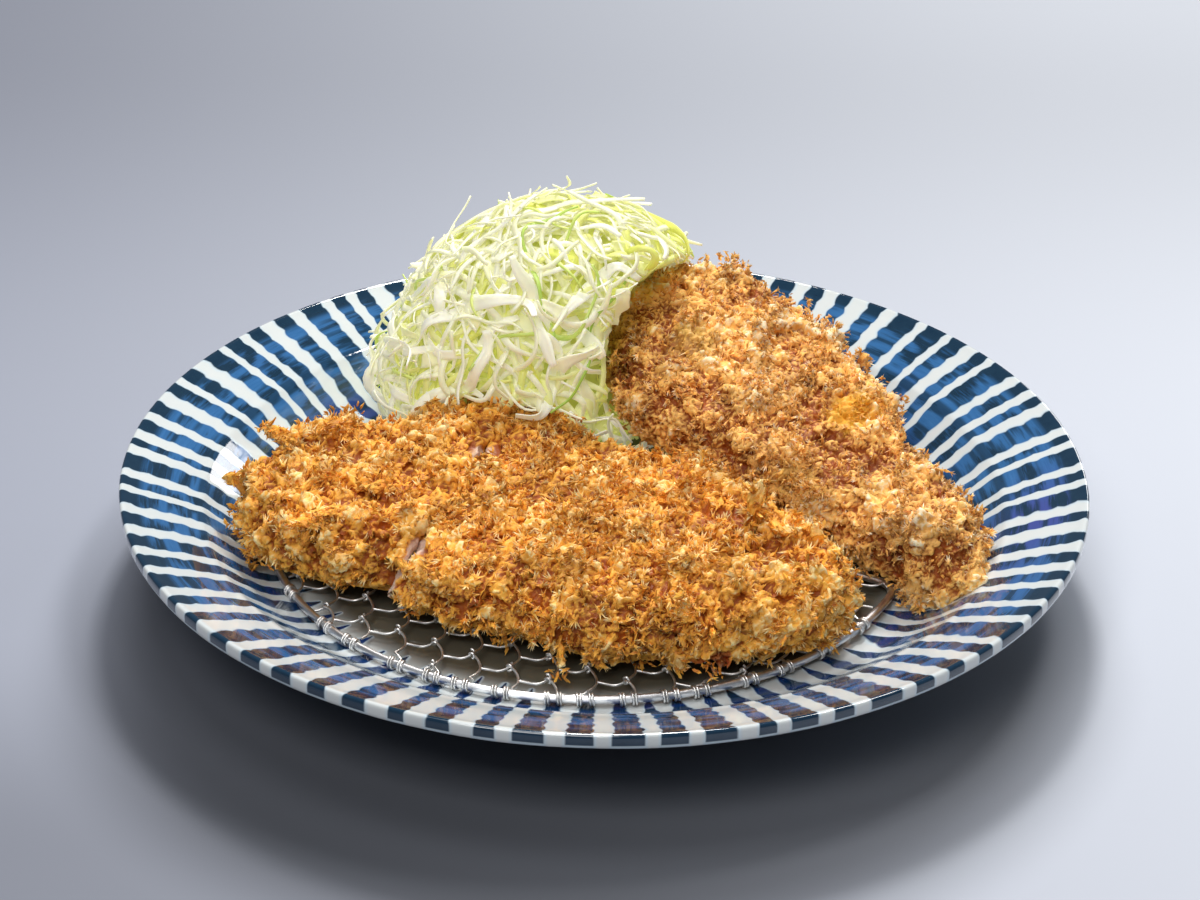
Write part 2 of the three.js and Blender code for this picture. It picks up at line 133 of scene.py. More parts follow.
def add_camera():
    """A 75 mm lens, 704 mm from the middle of the rim, 28.8 degrees above the table."""
    height = math.radians(28.8)
    roll = math.radians(-0.873)
    distance, aside, below = 704.2, 1.39, -2.09
    back = Vector((0, -math.cos(height), math.sin(height)))
    right = Vector((1, 0, 0))
    up = back.cross(right)
    data = bpy.data.cameras.new("camera")
    data.lens = 75
    data.sensor_width = 36
    data.clip_start = 0.01
    camera = link(bpy.data.objects.new("camera", data))
    axes = Matrix((
        math.cos(roll) * right - math.sin(roll) * up,
        math.sin(roll) * right + math.cos(roll) * up,
        back,
    )).transposed().to_4x4()
    place = distance * back - aside * right - below * up + Vector((0, 0, PLATE_HEIGHT))
    camera.matrix_world = Matrix.Translation(place * MM) @ axes
    bpy.context.scene.camera = camera


def add_light(name, place, size, power, colour=(1, 1, 1)):
    """A rectangular light, with its place and size in millimetres."""
    data = bpy.data.lights.new(name, "AREA")
    data.shape = "RECTANGLE"
    data.size = size[0] * MM
    data.size_y = size[1] * MM
    data.energy = power
    data.color = colour
    light = link(bpy.data.objects.new(name, data))
    back = (Vector(place) - LIT).normalized()
    turn = back.to_track_quat("Z", "Y").to_matrix().to_4x4()
    light.matrix_world = Matrix.Translation(Vector(place) * MM) @ turn


def add_lights():
    """A key light high behind the dish, a weaker one on the right, soft fills and a low panel behind."""
    add_light("key", (60, 1130, 1480), (260, 260), 23, (1, 0.99, 0.96))
    add_light("right_high", (610, 510, 1500), (300, 300), 8.5, (1, 0.99, 0.97))
    add_light("top_soft", (-120, -60, 1000), (380, 380), 2.4, (0.98, 0.99, 1))
    add_light("front_fill", (-220, -720, 900), (520, 400), 5.2, (1, 0.99, 0.97))
    add_light("low_panel", (470, 800, 330), (260, 200), 1.1)
    world = bpy.data.worlds.new("room")
    bpy.context.scene.world = world
    world.use_nodes = True
    room = world.node_tree.nodes["Background"].inputs
    room["Color"].default_value = (0.9, 0.94, 1, 1)
    room["Strength"].default_value = 0.14
    bpy.context.scene.view_settings.view_transform = "Standard"


# ---------------------------------------------------------------- material tools

def tint(red, green, blue):
    """A colour given in the usual 0-255 values."""
    def linear(value):
        share = value / 255
        return share / 12.92 if share < 0.04045 else ((share + 0.055) / 1.055) ** 2.4
    return (linear(red), linear(green), linear(blue), 1)


class Graph:
    """Adds nodes to a material's or a group's tree. A value may be a number, a colour or a socket."""

    def __init__(self, tree):
        self.tree = tree

    def put(self, socket, value):
        if isinstance(value, bpy.types.NodeSocket):
            self.tree.links.new(value, socket)
        elif value is not None:
            socket.default_value = value

    def node(self, kind, inputs=(), out=0, **settings):
        node = self.tree.nodes.new(kind)
        for key, value in settings.items():
            setattr(node, key, value)
        pairs = inputs.items() if isinstance(inputs, dict) else enumerate(inputs)
        for key, value in pairs:
            self.put(node.inputs[key], value)
        return node.outputs[out]

    def math(self, operation, a, b=None, c=None):
        return self.node("ShaderNodeMath", (a, b, c), operation=operation)

    def add(self, a, b):
        return self.math("ADD", a, b)

    def sub(self, a, b):
        return self.math("SUBTRACT", a, b)

    def mul(self, a, b):
        return self.math("MULTIPLY", a, b)

    def swing(self, value, size):
        """A value of 0..1 turned into one that swings round zero."""
        return self.mul(self.sub(value, 0.5), size)

    def length(self, x, y):
        return self.math("SQRT", self.add(self.mul(x, x), self.mul(y, y)))

    def vector(self, operation, *values, out=0):
        return self.node("ShaderNodeVectorMath", values, out, operation=operation)

    def mix(self, share, a, b, blend="MIX"):
        return self.node("ShaderNodeMix", {0: share, 6: a, 7: b}, 2, data_type="RGBA", blend_type=blend)

    def shaded(self, colour, shade):
        return self.mix(1.0, colour, self.join(shade, shade, shade), "MULTIPLY")

    def ease(self, value, low, high, to_low=0.0, to_high=1.0):
        inputs = {0: value, 1: low, 2: high, 3: to_low, 4: to_high}
        return self.node("ShaderNodeMapRange", inputs, interpolation_type="SMOOTHSTEP")

    def place(self):
        return self.node("ShaderNodeTexCoord", out=3)

    def split(self, vector):
        node = self.tree.nodes.new("ShaderNodeSeparateXYZ")
        self.put(node.inputs[0], vector)
        return node.outputs

    def join(self, x, y=0.0, z=0.0):
        return self.node("ShaderNodeCombineXYZ", (x, y, z))

    def scaled(self, vector, factors):
        return self.vector("MULTIPLY", vector, factors)

    def noise(self, vector, scale, detail=2.0, roughness=0.5):
        inputs = {"Vector": vector, "Scale": scale, "Detail": detail, "Roughness": roughness}
        return self.node("ShaderNodeTexNoise", inputs)

    def random(self, vector):
        return self.node("ShaderNodeTexWhiteNoise", {"Vector": vector}, noise_dimensions="3D")

    def attribute(self, name):
        return self.node("ShaderNodeAttribute", out=2, attribute_name=name)

    def bump(self, height, strength, distance):
        inputs = {"Strength": strength, "Distance": distance * MM, "Height": height}
        return self.node("ShaderNodeBump", inputs)


def new_material(name, **sockets):
    """A Principled material with the sockets given set, and its graph and shader node."""
    material = bpy.data.materials.new(name)
    material.use_nodes = True
    shader = material.node_tree.nodes["Principled BSDF"]
    for key, value in sockets.items():
        shader.inputs[key.replace("_", " ")].default_value = value
    return material, Graph(material.node_tree), shader


def new_group(name, inputs, outputs):
    """An empty shader node group with float and colour sockets: {name: default} and {name: kind}."""
    tree = bpy.data.node_groups.new(name, "ShaderNodeTree")
    for key, default in inputs.items():
        kind = "NodeSocketColor" if isinstance(default, tuple) else "NodeSocketFloat"
        socket = tree.interface.new_socket(key, in_out="INPUT", socket_type=kind)
        socket.default_value = default
    for key, kind in outputs.items():
        tree.interface.new_socket(key, in_out="OUTPUT", socket_type="NodeSocket" + kind)
    graph = Graph(tree)
    given = tree.nodes.new("NodeGroupInput").outputs
    result = tree.nodes.new("NodeGroupOutput").inputs
    return tree, graph, given, result


def use_group(graph, group, **inputs):
    node = graph.tree.nodes.new("ShaderNodeGroup")
    node.node_tree = group
    for key, value in inputs.items():
        graph.put(node.inputs[key.replace("_", " ")], value)
    return node.outputs


# ---------------------------------------------------------------- materials

STRIPES = 76
STRIPE_TIP = 83  # the radius where the shortest stripes end
DAB_LENGTH = 5.2
WALL_FOOT, WALL_RUN, WALL_SLOPE = 94, 19.8, 0.58
FLANGE_SLOPE = 0.42
INSIDE_FLOOR = 10.8  # a level between the two faces of the well's floor


def glaze_material():
    """White glaze over uneven indigo stripes, each a row of brush dabs from the lip into the well."""
    material, g, shader = new_material("striped_glaze", Roughness=0.07, Coat_Weight=0.6, Coat_Roughness=0.03)
    x, y, z = g.split(g.scaled(g.place(), (1000, 1000, 1000)))
    radius = g.length(x, y)
    round_place = g.scaled(g.vector("NORMALIZE", g.join(x, y)), (12.1,) * 3)
    angle = g.math("ARCTAN2", y, x)
    sway = g.swing(g.noise(round_place, 0.8, 0), 0.75)
    cells = g.add(g.mul(angle, STRIPES / (2 * math.pi)), sway)
    stripe = g.math("WRAP", g.math("FLOOR", cells), STRIPES, 0)
    across = g.sub(g.math("FRACT", cells), 0.5)
    own = g.random(g.join(stripe, 3))
    second = g.random(g.join(stripe, 11))

    # Dabs: the edges swell and shift from one to the next.
    run = g.add(g.math("DIVIDE", radius, DAB_LENGTH), g.mul(own, 0.8))
    side = g.math("SIGN", across)
    edge_place = g.join(g.mul(stripe, 7.7), g.mul(side, 4.1), run)
    edge = g.swing(g.noise(edge_place, 1.0, 1.5, 0.6), 0.2)
    bead = g.math("ABSOLUTE", g.math("SINE", g.mul(run, math.pi)))
    half = g.add(g.swing(own, 0.08), 0.235)
    half = g.add(half, g.mul(g.math("GREATER_THAN", second, 0.93), 0.1))
    half = g.add(half, edge)
    half = g.add(half, g.mul(bead, 0.055))
    tip = g.add(g.mul(own, 6), STRIPE_TIP)
    taper = g.math("POWER", g.ease(radius, tip, g.add(tip, 13)), 0.6)
    half = g.mul(half, taper)
    pitch = g.mul(radius, 2 * math.pi / STRIPES)
    reach = g.mul(g.sub(half, g.math("ABSOLUTE", across)), pitch)
    reach = g.sub(reach, g.ease(radius, g.add(tip, 1.5), tip, 0.0, 2.0))

    # The paint keeps to the upper face, above a level between the plate's two faces.
    out = g.math("MINIMUM", g.math("MAXIMUM", g.sub(radius, WALL_FOOT), 0), WALL_RUN)
    wall = g.mul(out, WALL_SLOPE)
    flange = g.mul(g.math("MAXIMUM", g.sub(radius, WALL_FOOT + WALL_RUN), 0), FLANGE_SLOPE)
    above = g.sub(z, g.add(INSIDE_FLOOR, g.add(wall, flange)))
    painted = g.mul(g.ease(reach, -0.25, 0.3), g.ease(above, -0.2, 0.2))
    painted = g.mul(painted, g.math("GREATER_THAN", radius, 78))

    # Brush strokes across each stripe, darker where two dabs overlap.
    streak_place = g.join(g.mul(cells, 1.1), g.mul(radius, 1.2), 0)
    streaks = g.noise(streak_place, 1.0, 3, 0.65)
    patch_place = g.join(g.mul(stripe, 5.3), run, g.mul(across, 0.7))
    patches = g.noise(patch_place, 1.05, 1, 0.5)
    dark = g.ease(g.add(patches, g.swing(streaks, 0.5)), 0.44, 0.66)
    overlap = g.mul(g.ease(bead, 0.62, 0.2), g.ease(patches, 0.3, 0.5))
    dark = g.math("MAXIMUM", dark, g.mul(overlap, 0.85))
    rim = g.ease(radius, PLATE_RADIUS - 7.5, PLATE_RADIUS - 4.5)
    ridge = g.ease(g.math("ABSOLUTE", g.sub(radius, RIDGE_RADIUS)), 2.2, 0.9)
    dark = g.math("MAXIMUM", dark, g.math("MAXIMUM", rim, g.mul(ridge, 0.8)))
    blue = g.mix(streaks, tint(24, 78, 128), tint(66, 122, 180))
    blue = g.mix(g.ease(radius, 109, 99), blue, tint(18, 52, 110))
    violet = g.noise(g.scaled(g.join(x, y), (0.012,) * 3), 1.0, 1)
    blue = g.mix(g.ease(violet, 0.58, 0.8), blue, tint(62, 74, 146))
    ink = g.mix(g.noise(g.join(x, y, z), 0.35, 2), tint(6, 40, 64), tint(24, 54, 76))
    paint = g.mix(dark, blue, ink)
    glaze_with_well_shade = g.mix(g.noise(g.place(), 40, 2), tint(206, 212, 213), tint(216, 220, 220))
    # Painted shade and painted reflection: the glaze is painted a dark olive-brown in the well, under the
    # food.
    glaze_with_well_shade = g.mix(g.ease(radius, 95, 82), glaze_with_well_shade, tint(90, 86, 74))
    bleed = g.mix(g.ease(reach, -1.1, 0.1), glaze_with_well_shade, tint(196, 212, 222))
    g.put(shader.inputs["Base Color"], g.mix(painted, bleed, paint))

    crinkle = g.noise(g.place(), 240, 2, 0.6)
    near_ridge = g.ease(g.math("ABSOLUTE", g.sub(radius, RIDGE_RADIUS)), 6.0, 1.0)
    height = g.add(g.noise(g.place(), 55, 1), g.mul(crinkle, g.mul(near_ridge, 0.35)))
    height = g.add(height, g.mul(painted, 0.05))
    g.put(shader.inputs["Normal"], g.bump(height, 0.35, 0.5))
    return material


def steel_group():
    """Drawn steel: faint lengthwise lines and smudges. Gives a colour, a roughness and a height."""
    tree, g, given, result = new_group(
        "drawn_steel",
        {"Bright": (0.8, 0.8, 0.8, 1), "Dull": (0.5, 0.5, 0.5, 1), "Polish": 0.2},
        {"Color": "Color", "Roughness": "Float", "Height": "Float"},
    )
    smudge = g.noise(g.place(), 260, 3, 0.6)
    lines = g.noise(g.scaled(g.place(), (1, 1, 6)), 1400, 2, 0.6)
    g.put(result["Color"], g.mix(g.ease(smudge, 0.4, 0.75), given["Bright"], given["Dull"]))
    g.put(result["Roughness"], g.add(given["Polish"], g.mul(smudge, 0.14)))
    g.put(result["Height"], lines)
    return tree


def steel_material(name, steel, bright, dull, polish):
    material, g, shader = new_material(name, Metallic=1.0)
    drawn = use_group(g, steel, Bright=bright, Dull=dull, Polish=polish)
    g.put(shader.inputs["Base Color"], drawn["Color"])
    g.put(shader.inputs["Roughness"], drawn["Roughness"])
    g.put(shader.inputs["Normal"], g.bump(drawn["Height"], 0.15, 0.05))
    return material


def fried_group():
    """Fried crumbs, oilier in the recesses and dry at the tips, with painted shade that darkens the recesses
    and a painted highlight that makes the tips pale.
    """
    tree, g, given, result = new_group(
        "fried_crumbs",
        {
            "Recess": (0.3, 0.1, 0.03, 1), "Crust": (0.7, 0.4, 0.1, 1), "Tip": (0.9, 0.7, 0.4, 1),
            "Burnt": (0.2, 0.06, 0.02, 1), "Raised": 0.5, "Tone": 0.5, "Grain": 900.0,
        },
        {"Color": "Color", "Roughness": "Float", "Height": "Float"},
    )
    fine = g.noise(g.place(), given["Grain"], 3, 0.65)
    broad = g.noise(g.place(), 95, 2, 0.55)
    raised = g.add(given["Raised"], g.swing(fine, 0.5))
    # Painted shade and painted highlight: low places take the recess colour, as shaded, and raised ones the
    # tip colour, as lit.
    colour = g.mix(g.ease(raised, 0.05, 0.5), given["Recess"], given["Crust"])
    colour = g.mix(g.ease(raised, 0.5, 1.05), colour, given["Tip"])
    browned = g.mul(g.ease(broad, 0.56, 0.74), g.ease(given["Tone"], 0.9, 0.2))
    colour = g.mix(g.mul(browned, 0.3), colour, given["Burnt"])
    shade = g.mul(g.ease(given["Tone"], 0.0, 1.0, 0.76, 1.2), g.ease(broad, 0.36, 0.64, 1.18, 0.88))
    g.put(result["Color"], g.shaded(colour, shade))
    g.put(result["Roughness"], g.ease(raised, 0.0, 0.8, 0.42, 0.65))
    g.put(result["Height"], g.add(fine, g.noise(g.place(), 2600, 2)))
    return tree


def crust_material(name, fried, recess_shade, crust, tip, burnt, spots, meat=None):
    """Breading, with spots of another colour.

    A spot is (centre, radius, share, tint), in millimetres. The share is how much of its tint shows.
    """
    material, g, shader = new_material(
        name, Subsurface_Weight=0.15, Subsurface_Scale=0.0014, Specular_IOR_Level=0.3,
    )
    shader.inputs["Subsurface Radius"].default_value = (1.0, 0.55, 0.22)
    outputs = use_group(
        g, fried, Recess=recess_shade, Crust=crust, Tip=tip, Burnt=burnt,
        Raised=g.attribute("raised"), Tone=g.attribute("tone"),
    )
    colour = outputs["Color"]
    ragged = g.swing(g.noise(g.place(), 420, 2), 1.1)
    for centre, radius, share, stain in spots:
        offset = g.vector("SUBTRACT", g.place(), tuple(value * MM for value in centre))
        away = g.math("DIVIDE", g.vector("LENGTH", offset, out=1), radius * MM)
        stained = g.ease(g.add(away, ragged), 1.15, 0.6, 0.0, share)
        colour = g.mix(stained, colour, stain)
    if meat:
        fibres = g.noise(g.scaled(g.place(), (1, 1, 0.35)), 700, 3, 0.6)
        pork = g.mix(fibres, meat, tint(226, 198, 180))
        colour = g.mix(g.attribute("meat"), colour, pork)
    g.put(shader.inputs["Base Color"], colour)
    g.put(shader.inputs["Roughness"], outputs["Roughness"])
    g.put(shader.inputs["Normal"], g.bump(outputs["Height"], 0.6, 0.35))
    return material


def leaf_material(name, pale, fresh, shaded_green):
    """Moist cabbage, with a little light of its own: fresher by its tone, and painted a deeper green by its
    depth, as shade deeper in the heap.
    """
    material, g, shader = new_material(
        name, Roughness=0.42, Subsurface_Weight=0.35, Subsurface_Scale=0.002, Coat_Weight=0.1,
    )
    shader.inputs["Subsurface Radius"].default_value = (0.8, 1.0, 0.35)
    veins = g.noise(g.place(), 330, 3, 0.6)
    share = g.add(g.attribute("tone"), g.swing(veins, 0.5))
    colour = g.mix(g.ease(share, 0.2, 1.0), pale, fresh)
    # Painted shade: the leaf is painted a deeper green by its depth in the heap, where shade falls.
    colour = g.mix(g.attribute("depth"), colour, shaded_green)
    g.put(shader.inputs["Base Color"], colour)
    g.put(shader.inputs["Emission Color"], colour)
    shader.inputs["Emission Strength"].default_value = 0.2
    g.put(shader.inputs["Normal"], g.bump(veins, 0.2, 0.25))
    return material


def floor_material():
    """A pale board with painted light: lighter on the right, darker on the left, at the back and in the near
    left, and a painted shadow under the dish.
    """
    material, g, shader = new_material("pale_board", Roughness=0.9, Specular_IOR_Level=0.1)
    x, y, _ = g.split(g.place())
    # Painted light: the board is painted lighter towards the right and darker towards the left, in place of
    # light that falls off.
    painted_light_grade = g.add(x, g.mul(y, 0.15))
    colour = g.mix(g.ease(painted_light_grade, -0.32, 0.38), tint(145, 149, 163), tint(204, 208, 217))
    # Painted shade: the board is painted darker towards the back and in the near left corner.
    far = g.ease(y, 0.05, 0.42, 1.0, 0.7)
    painted_shade_near_left = g.mul(g.ease(y, -0.04, -0.14), g.ease(x, 0.1, -0.12))
    shade = g.mul(far, g.sub(1.0, g.mul(painted_shade_near_left, 0.36)))

    # Painted shadow of the dish: the board is painted darker round a place 5 mm left of its middle and 36 mm
    # in front of it.
    reach = g.length(g.add(x, 0.005), g.add(y, 0.036))
    shade = g.mul(shade, g.ease(reach, 0.115, 0.155, 0.34, 1.0))
    g.put(shader.inputs["Base Color"], g.shaded(colour, shade))
    return material


# ---------------------------------------------------------------- mesh tools

def only(piece):
    """Makes a piece the only one selected, and the active one."""
    bpy.ops.object.select_all(action="DESELECT")
    piece.select_set(True)
    bpy.context.view_layer.objects.active = piece
    return piece


def active(name):
    """Names the object that an operator has just made."""
    piece = bpy.context.view_layer.objects.active
    piece.name = name
    piece.data.name = name
    return piece


@contextmanager
def edit_mode():
    """The active object's mesh is edited while this lasts."""
    bpy.ops.object.mode_set(mode="EDIT")
    yield
    bpy.ops.object.mode_set(mode="OBJECT")


def shade_smooth(piece):
    only(piece)
    bpy.ops.object.shade_smooth()


def apply_modifier(piece, kind, **settings):
    only(piece)
    modifier = piece.modifiers.new(kind.lower(), kind)
    for key, value in settings.items():
        setattr(modifier, key, value)
    bpy.ops.object.modifier_apply(modifier=modifier.name)


def remesh(piece, size):
    apply_modifier(piece, "REMESH", mode="VOXEL", voxel_size=size * MM)


def displace(piece, texture, strength, **settings):
    """Moves a mesh by a texture, with the strength in millimetres."""
    apply_modifier(piece, "DISPLACE", texture=texture, texture_coords="LOCAL",
                   strength=strength * MM, **settings)


def finish_piece(piece, material, slot, *replaced):
    """Gives a piece its material and its place in the frame."""
    piece.data.materials.clear()
    piece.data.materials.append(material)
    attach(piece, "root")
    if replaced:
        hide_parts(*replaced)
    return piece


def points_of(mesh):
    """The vertices of a mesh in millimetres."""
    points = np.empty(len(mesh.vertices) * 3, np.float32)
    mesh.vertices.foreach_get("co", points)
    return points.reshape(-1, 3).astype(float) / MM


def set_points(mesh, points):
    mesh.vertices.foreach_set("co", np.ascontiguousarray(points * MM, np.float32).ravel())


def normals_of(mesh):
    normals = np.empty(len(mesh.vertices) * 3, np.float32)
    mesh.vertex_normals.foreach_get("vector", normals)
    return normals.reshape(-1, 3).astype(float)


def triangles_of(mesh):
    mesh.calc_loop_triangles()
    triangles = np.empty(len(mesh.loop_triangles) * 3, np.int32)
    mesh.loop_triangles.foreach_get("vertices", triangles)
    return triangles.reshape(-1, 3)


def corners_of(points, triangles):
    """The three corners of each triangle, and its area."""
    a, b, c = (points[triangles[:, k]] for k in range(3))
    return a, b, c, np.linalg.norm(np.cross(b - a, c - a), axis=1) / 2


def units(vectors, least=0.0):
    """Vectors brought to a length of one."""
    return vectors / (np.linalg.norm(vectors, axis=-1, keepdims=True) + least)


def set_attribute(mesh, name, values):
    layer = mesh.attributes.new(name, "FLOAT", "POINT")
    layer.data.foreach_set("value", np.ascontiguousarray(values, np.float32))


def mesh_piece(name, points, faces, smooth=True):
    """An object from points in millimetres and faces with equally many corners."""
    mesh = bpy.data.meshes.new(name)
    corners = faces.shape[1]
    mesh.vertices.add(len(points))
    set_points(mesh, points)
    mesh.loops.add(faces.size)
    mesh.loops.foreach_set("vertex_index", np.ascontiguousarray(faces, np.int32).ravel())
    mesh.polygons.add(len(faces))
    mesh.polygons.foreach_set("loop_start", np.arange(0, faces.size, corners, dtype=np.int32))
    mesh.polygons.foreach_set("use_smooth", np.full(len(faces), smooth))
    mesh.update(calc_edges=True)
    return link(bpy.data.objects.new(name, mesh))


def wire_piece(name, paths, diameter, resolution, closed=False):
    """Round wire along each path of points, as one mesh."""
    curve = bpy.data.curves.new(name, "CURVE")
    curve.dimensions = "3D"
    curve.bevel_depth = diameter / 2 * MM
    curve.bevel_resolution = resolution
    curve.use_fill_caps = not closed
    for path in paths:
        spline = curve.splines.new("POLY")
        spline.points.add(len(path) - 1)
        for point, place in zip(spline.points, path):
            point.co = (*(np.asarray(place) * MM), 1)
        spline.use_cyclic_u = closed
    only(link(bpy.data.objects.new(name, curve)))
    bpy.ops.object.convert(target="MESH")
    bpy.ops.object.shade_smooth()
    return active(name)


# ---------------------------------------------------------------- plate

def plate_profile():
    """From the middle of the well out over the lip and back under to the axis: [radius, height]."""
    rim, under = PLATE_HEIGHT, PLATE_HEIGHT - WELL_DEPTH - FLOOR_THICKNESS
    floor = PLATE_HEIGHT - WELL_DEPTH
    ridge = PLATE_HEIGHT - RIDGE_DROP
    top = [
        (0, floor), (30, floor), (60, floor), (78, floor), (WELL_RADIUS, floor + 0.2), (92, floor + 0.6),
        (97.5, floor + 1.9), (101.6, floor + 3.7), (105, floor + 6.2), (108.5, floor + 9.1),
        (RIDGE_RADIUS - 1.2, ridge - 1), (RIDGE_RADIUS - 0.4, ridge - 0.3),
        (RIDGE_RADIUS + 0.5, ridge + 0.2), (RIDGE_RADIUS + 2, ridge + 0.7),
        (120, rim - 5.6), (127, rim - 2.9), (PLATE_RADIUS - 3, rim - 0.9),
    ]
    lip = [
        (PLATE_RADIUS - 1.6, rim - 0.2), (PLATE_RADIUS - 0.8, rim), (PLATE_RADIUS - 0.2, rim - 0.35),
        (PLATE_RADIUS, rim - 1.1), (PLATE_RADIUS, rim - LIP_THICKNESS + 1.1),
        (PLATE_RADIUS - 0.3, rim - LIP_THICKNESS + 0.4), (PLATE_RADIUS - 1.2, rim - LIP_THICKNESS),
        (PLATE_RADIUS - 4, rim - LIP_THICKNESS - 1.1),
    ]
    below = [
        (124, 25.1), (RIDGE_RADIUS + 1, ridge - LIP_THICKNESS),
        (109, 17.8), (104, 14.5), (94, 9.9), (80, 8.6),
        (FOOT_RADIUS + 1.5, under), (FOOT_RADIUS + 0.3, under - 1.2), (FOOT_RADIUS, 1), (FOOT_RADIUS - 1, 0),
        (FOOT_RADIUS - FOOT_WIDTH + 1, 0), (FOOT_RADIUS - FOOT_WIDTH, 1),
        (FOOT_RADIUS - FOOT_WIDTH - 0.3, under - 1.2), (FOOT_RADIUS - FOOT_WIDTH - 1.5, under),
        (30, under), (0, under),
    ]
    return top + lip + below


def softened(points):
    """A chain with each inner corner cut off between the quarter points of its two sides."""
    points = np.asarray(points, float)
    early = 0.75 * points[:-1] + 0.25 * points[1:]
    late = 0.25 * points[:-1] + 0.75 * points[1:]
    pairs = np.stack([early, late], 1).reshape(-1, 2)
    return np.concatenate([points[:1], pairs[1:-1], points[-1:]])


def make_plate():
    """The profile is drawn point by point and spun round the plate's axis."""
    profile = [Vector((r * MM, 0, z * MM)) for r, z in softened(plate_profile())]
    bpy.ops.object.select_all(action="DESELECT")
    bpy.ops.mesh.primitive_plane_add(size=2 * MM)
    plate = active("striped_plate")
    with edit_mode():
        bpy.ops.mesh.merge(type="CENTER")
        bpy.ops.transform.translate(value=profile[0])
        for start, end in zip(profile, profile[1:]):
            bpy.ops.mesh.extrude_vertices_move(TRANSFORM_OT_translate={"value": end - start})
        bpy.ops.mesh.select_all(action="SELECT")
        bpy.ops.mesh.spin(steps=200, angle=2 * math.pi, center=(0, 0, 0), axis=(0, 0, 1))
        bpy.ops.mesh.select_all(action="SELECT")
        bpy.ops.mesh.remove_doubles(threshold=0.01 * MM)
        bpy.ops.mesh.normals_make_consistent(inside=False)
    displace(plate, clouds("hand_thrown", 32), 0.35, mid_level=0.5)
    shade_smooth(plate)
    finish_piece(plate, glaze_material(), "glaze", "plate")


# ---------------------------------------------------------------- rack

def rack_place(points):
    """Points of the half-moon's own plan, turned and moved to the rack's place."""
    return np.asarray(points) @ FRAME_AXES + FRAME_CENTRE


def rack_own(points):
    """The way back: points of the plan, in the half-moon's own."""
    return (np.asarray(points) - FRAME_CENTRE) @ FRAME_AXES.T


def rack_outline():
    """The rod's path in plan: a long arc, a straight side and two round corners."""
    inner = FRAME_ARC_RADIUS - FRAME_CORNER
    corner_y = FRAME_CHORD - FRAME_CORNER
    corner_x = math.sqrt(inner ** 2 - corner_y ** 2)
    corner_turn = math.atan2(corner_y, corner_x)

    def sweep(x, y, radius, start, end, steps):
        angles = np.linspace(start, end, steps)
        return np.stack([x + radius * np.cos(angles), y + radius * np.sin(angles)], 1)

    left = sweep(-corner_x, corner_y, FRAME_CORNER, math.pi / 2, math.pi - corner_turn, 10)
    arc = sweep(0, 0, FRAME_ARC_RADIUS, math.pi - corner_turn, 2 * math.pi + corner_turn, 110)[1:-1]
    right = sweep(corner_x, corner_y, FRAME_CORNER, corner_turn, math.pi / 2, 10)
    side = np.linspace(right[-1], left[0], 30)[1:-1]
    return rack_place(np.concatenate([left, arc, right, side]))


def inside_rack(points, inset):
    """Which points of the plan lie inside the rod by an inset."""
    own = rack_own(points)
    return (np.hypot(*own.T) < FRAME_ARC_RADIUS - inset) & (own[:, 1] < FRAME_CHORD - inset)


def net_column(i):
    """One wavy side wire of the net, and where its twists are in plan."""
    offset = 0.5 if i % 2 else 0.0
    x = FRAME_CENTRE[0] + i * NET_COLUMN
    steps = 10
    t = np.arange(-NET_REACH * steps, NET_REACH * steps + 1) / steps
    share = t - np.floor(t)
    y = FRAME_CENTRE[1] + (t + offset) * NET_ROW
    bow = NET_BULGE * np.sin(np.pi * share) ** 0.8
    rise = 0.35 * np.cos(2 * np.pi * t)
    path = np.stack([x + bow, y, NET_LEVEL + rise], 1)
    twists = [FRAME_CENTRE[1] + (k + offset) * NET_ROW for k in range(-NET_REACH, NET_REACH)]
    return path, [(x, y) for y in twists]


def net_cross_wire(x, y, rng):
    """From a side wire's bow to the next side wire's twist, sagging a little."""
    t = np.linspace(0, 1, 9)
    sag = 4 * t * (1 - t)
    span = NET_COLUMN - NET_BULGE
    return np.stack([
        x + NET_BULGE + span * t,
        y - (0.9 + 0.5 * rng.random()) * sag + 0.4 * np.sin(2 * np.pi * t),
        NET_LEVEL - 0.35 + 0.5 * t - 0.25 * sag,
    ], 1)


def twist_wire(x, y, rng):
    """Where two wires are twisted: one winds round the other."""
    turns = 1.5
    t = np.linspace(0, 1, 15)
    a = 2 * np.pi * turns * t + 6 * rng.random()
    reach = NET_WIRE * 0.92
    level = NET_LEVEL + 0.3
    return np.stack([x + reach * np.cos(a), y + 2.6 * (t - 0.5), level + reach * np.sin(a)], 1)


def winding(place, along):
    """Loops of net wire round the rod, at a place in plan."""
    t = np.linspace(0, 1, 14 * WINDING_TURNS)
    a = 2 * np.pi * WINDING_TURNS * t - 0.5
    reach = (FRAME_WIRE + NET_WIRE) / 2
    out = np.array([-along[1], along[0]])
    run = NET_WIRE * 1.12 * WINDING_TURNS * (t - 0.5)
    plan = place + np.outer(run, along) + np.outer(reach * np.cos(a), out)
    return np.column_stack([plan, FRAME_LEVEL + reach * np.sin(a)])


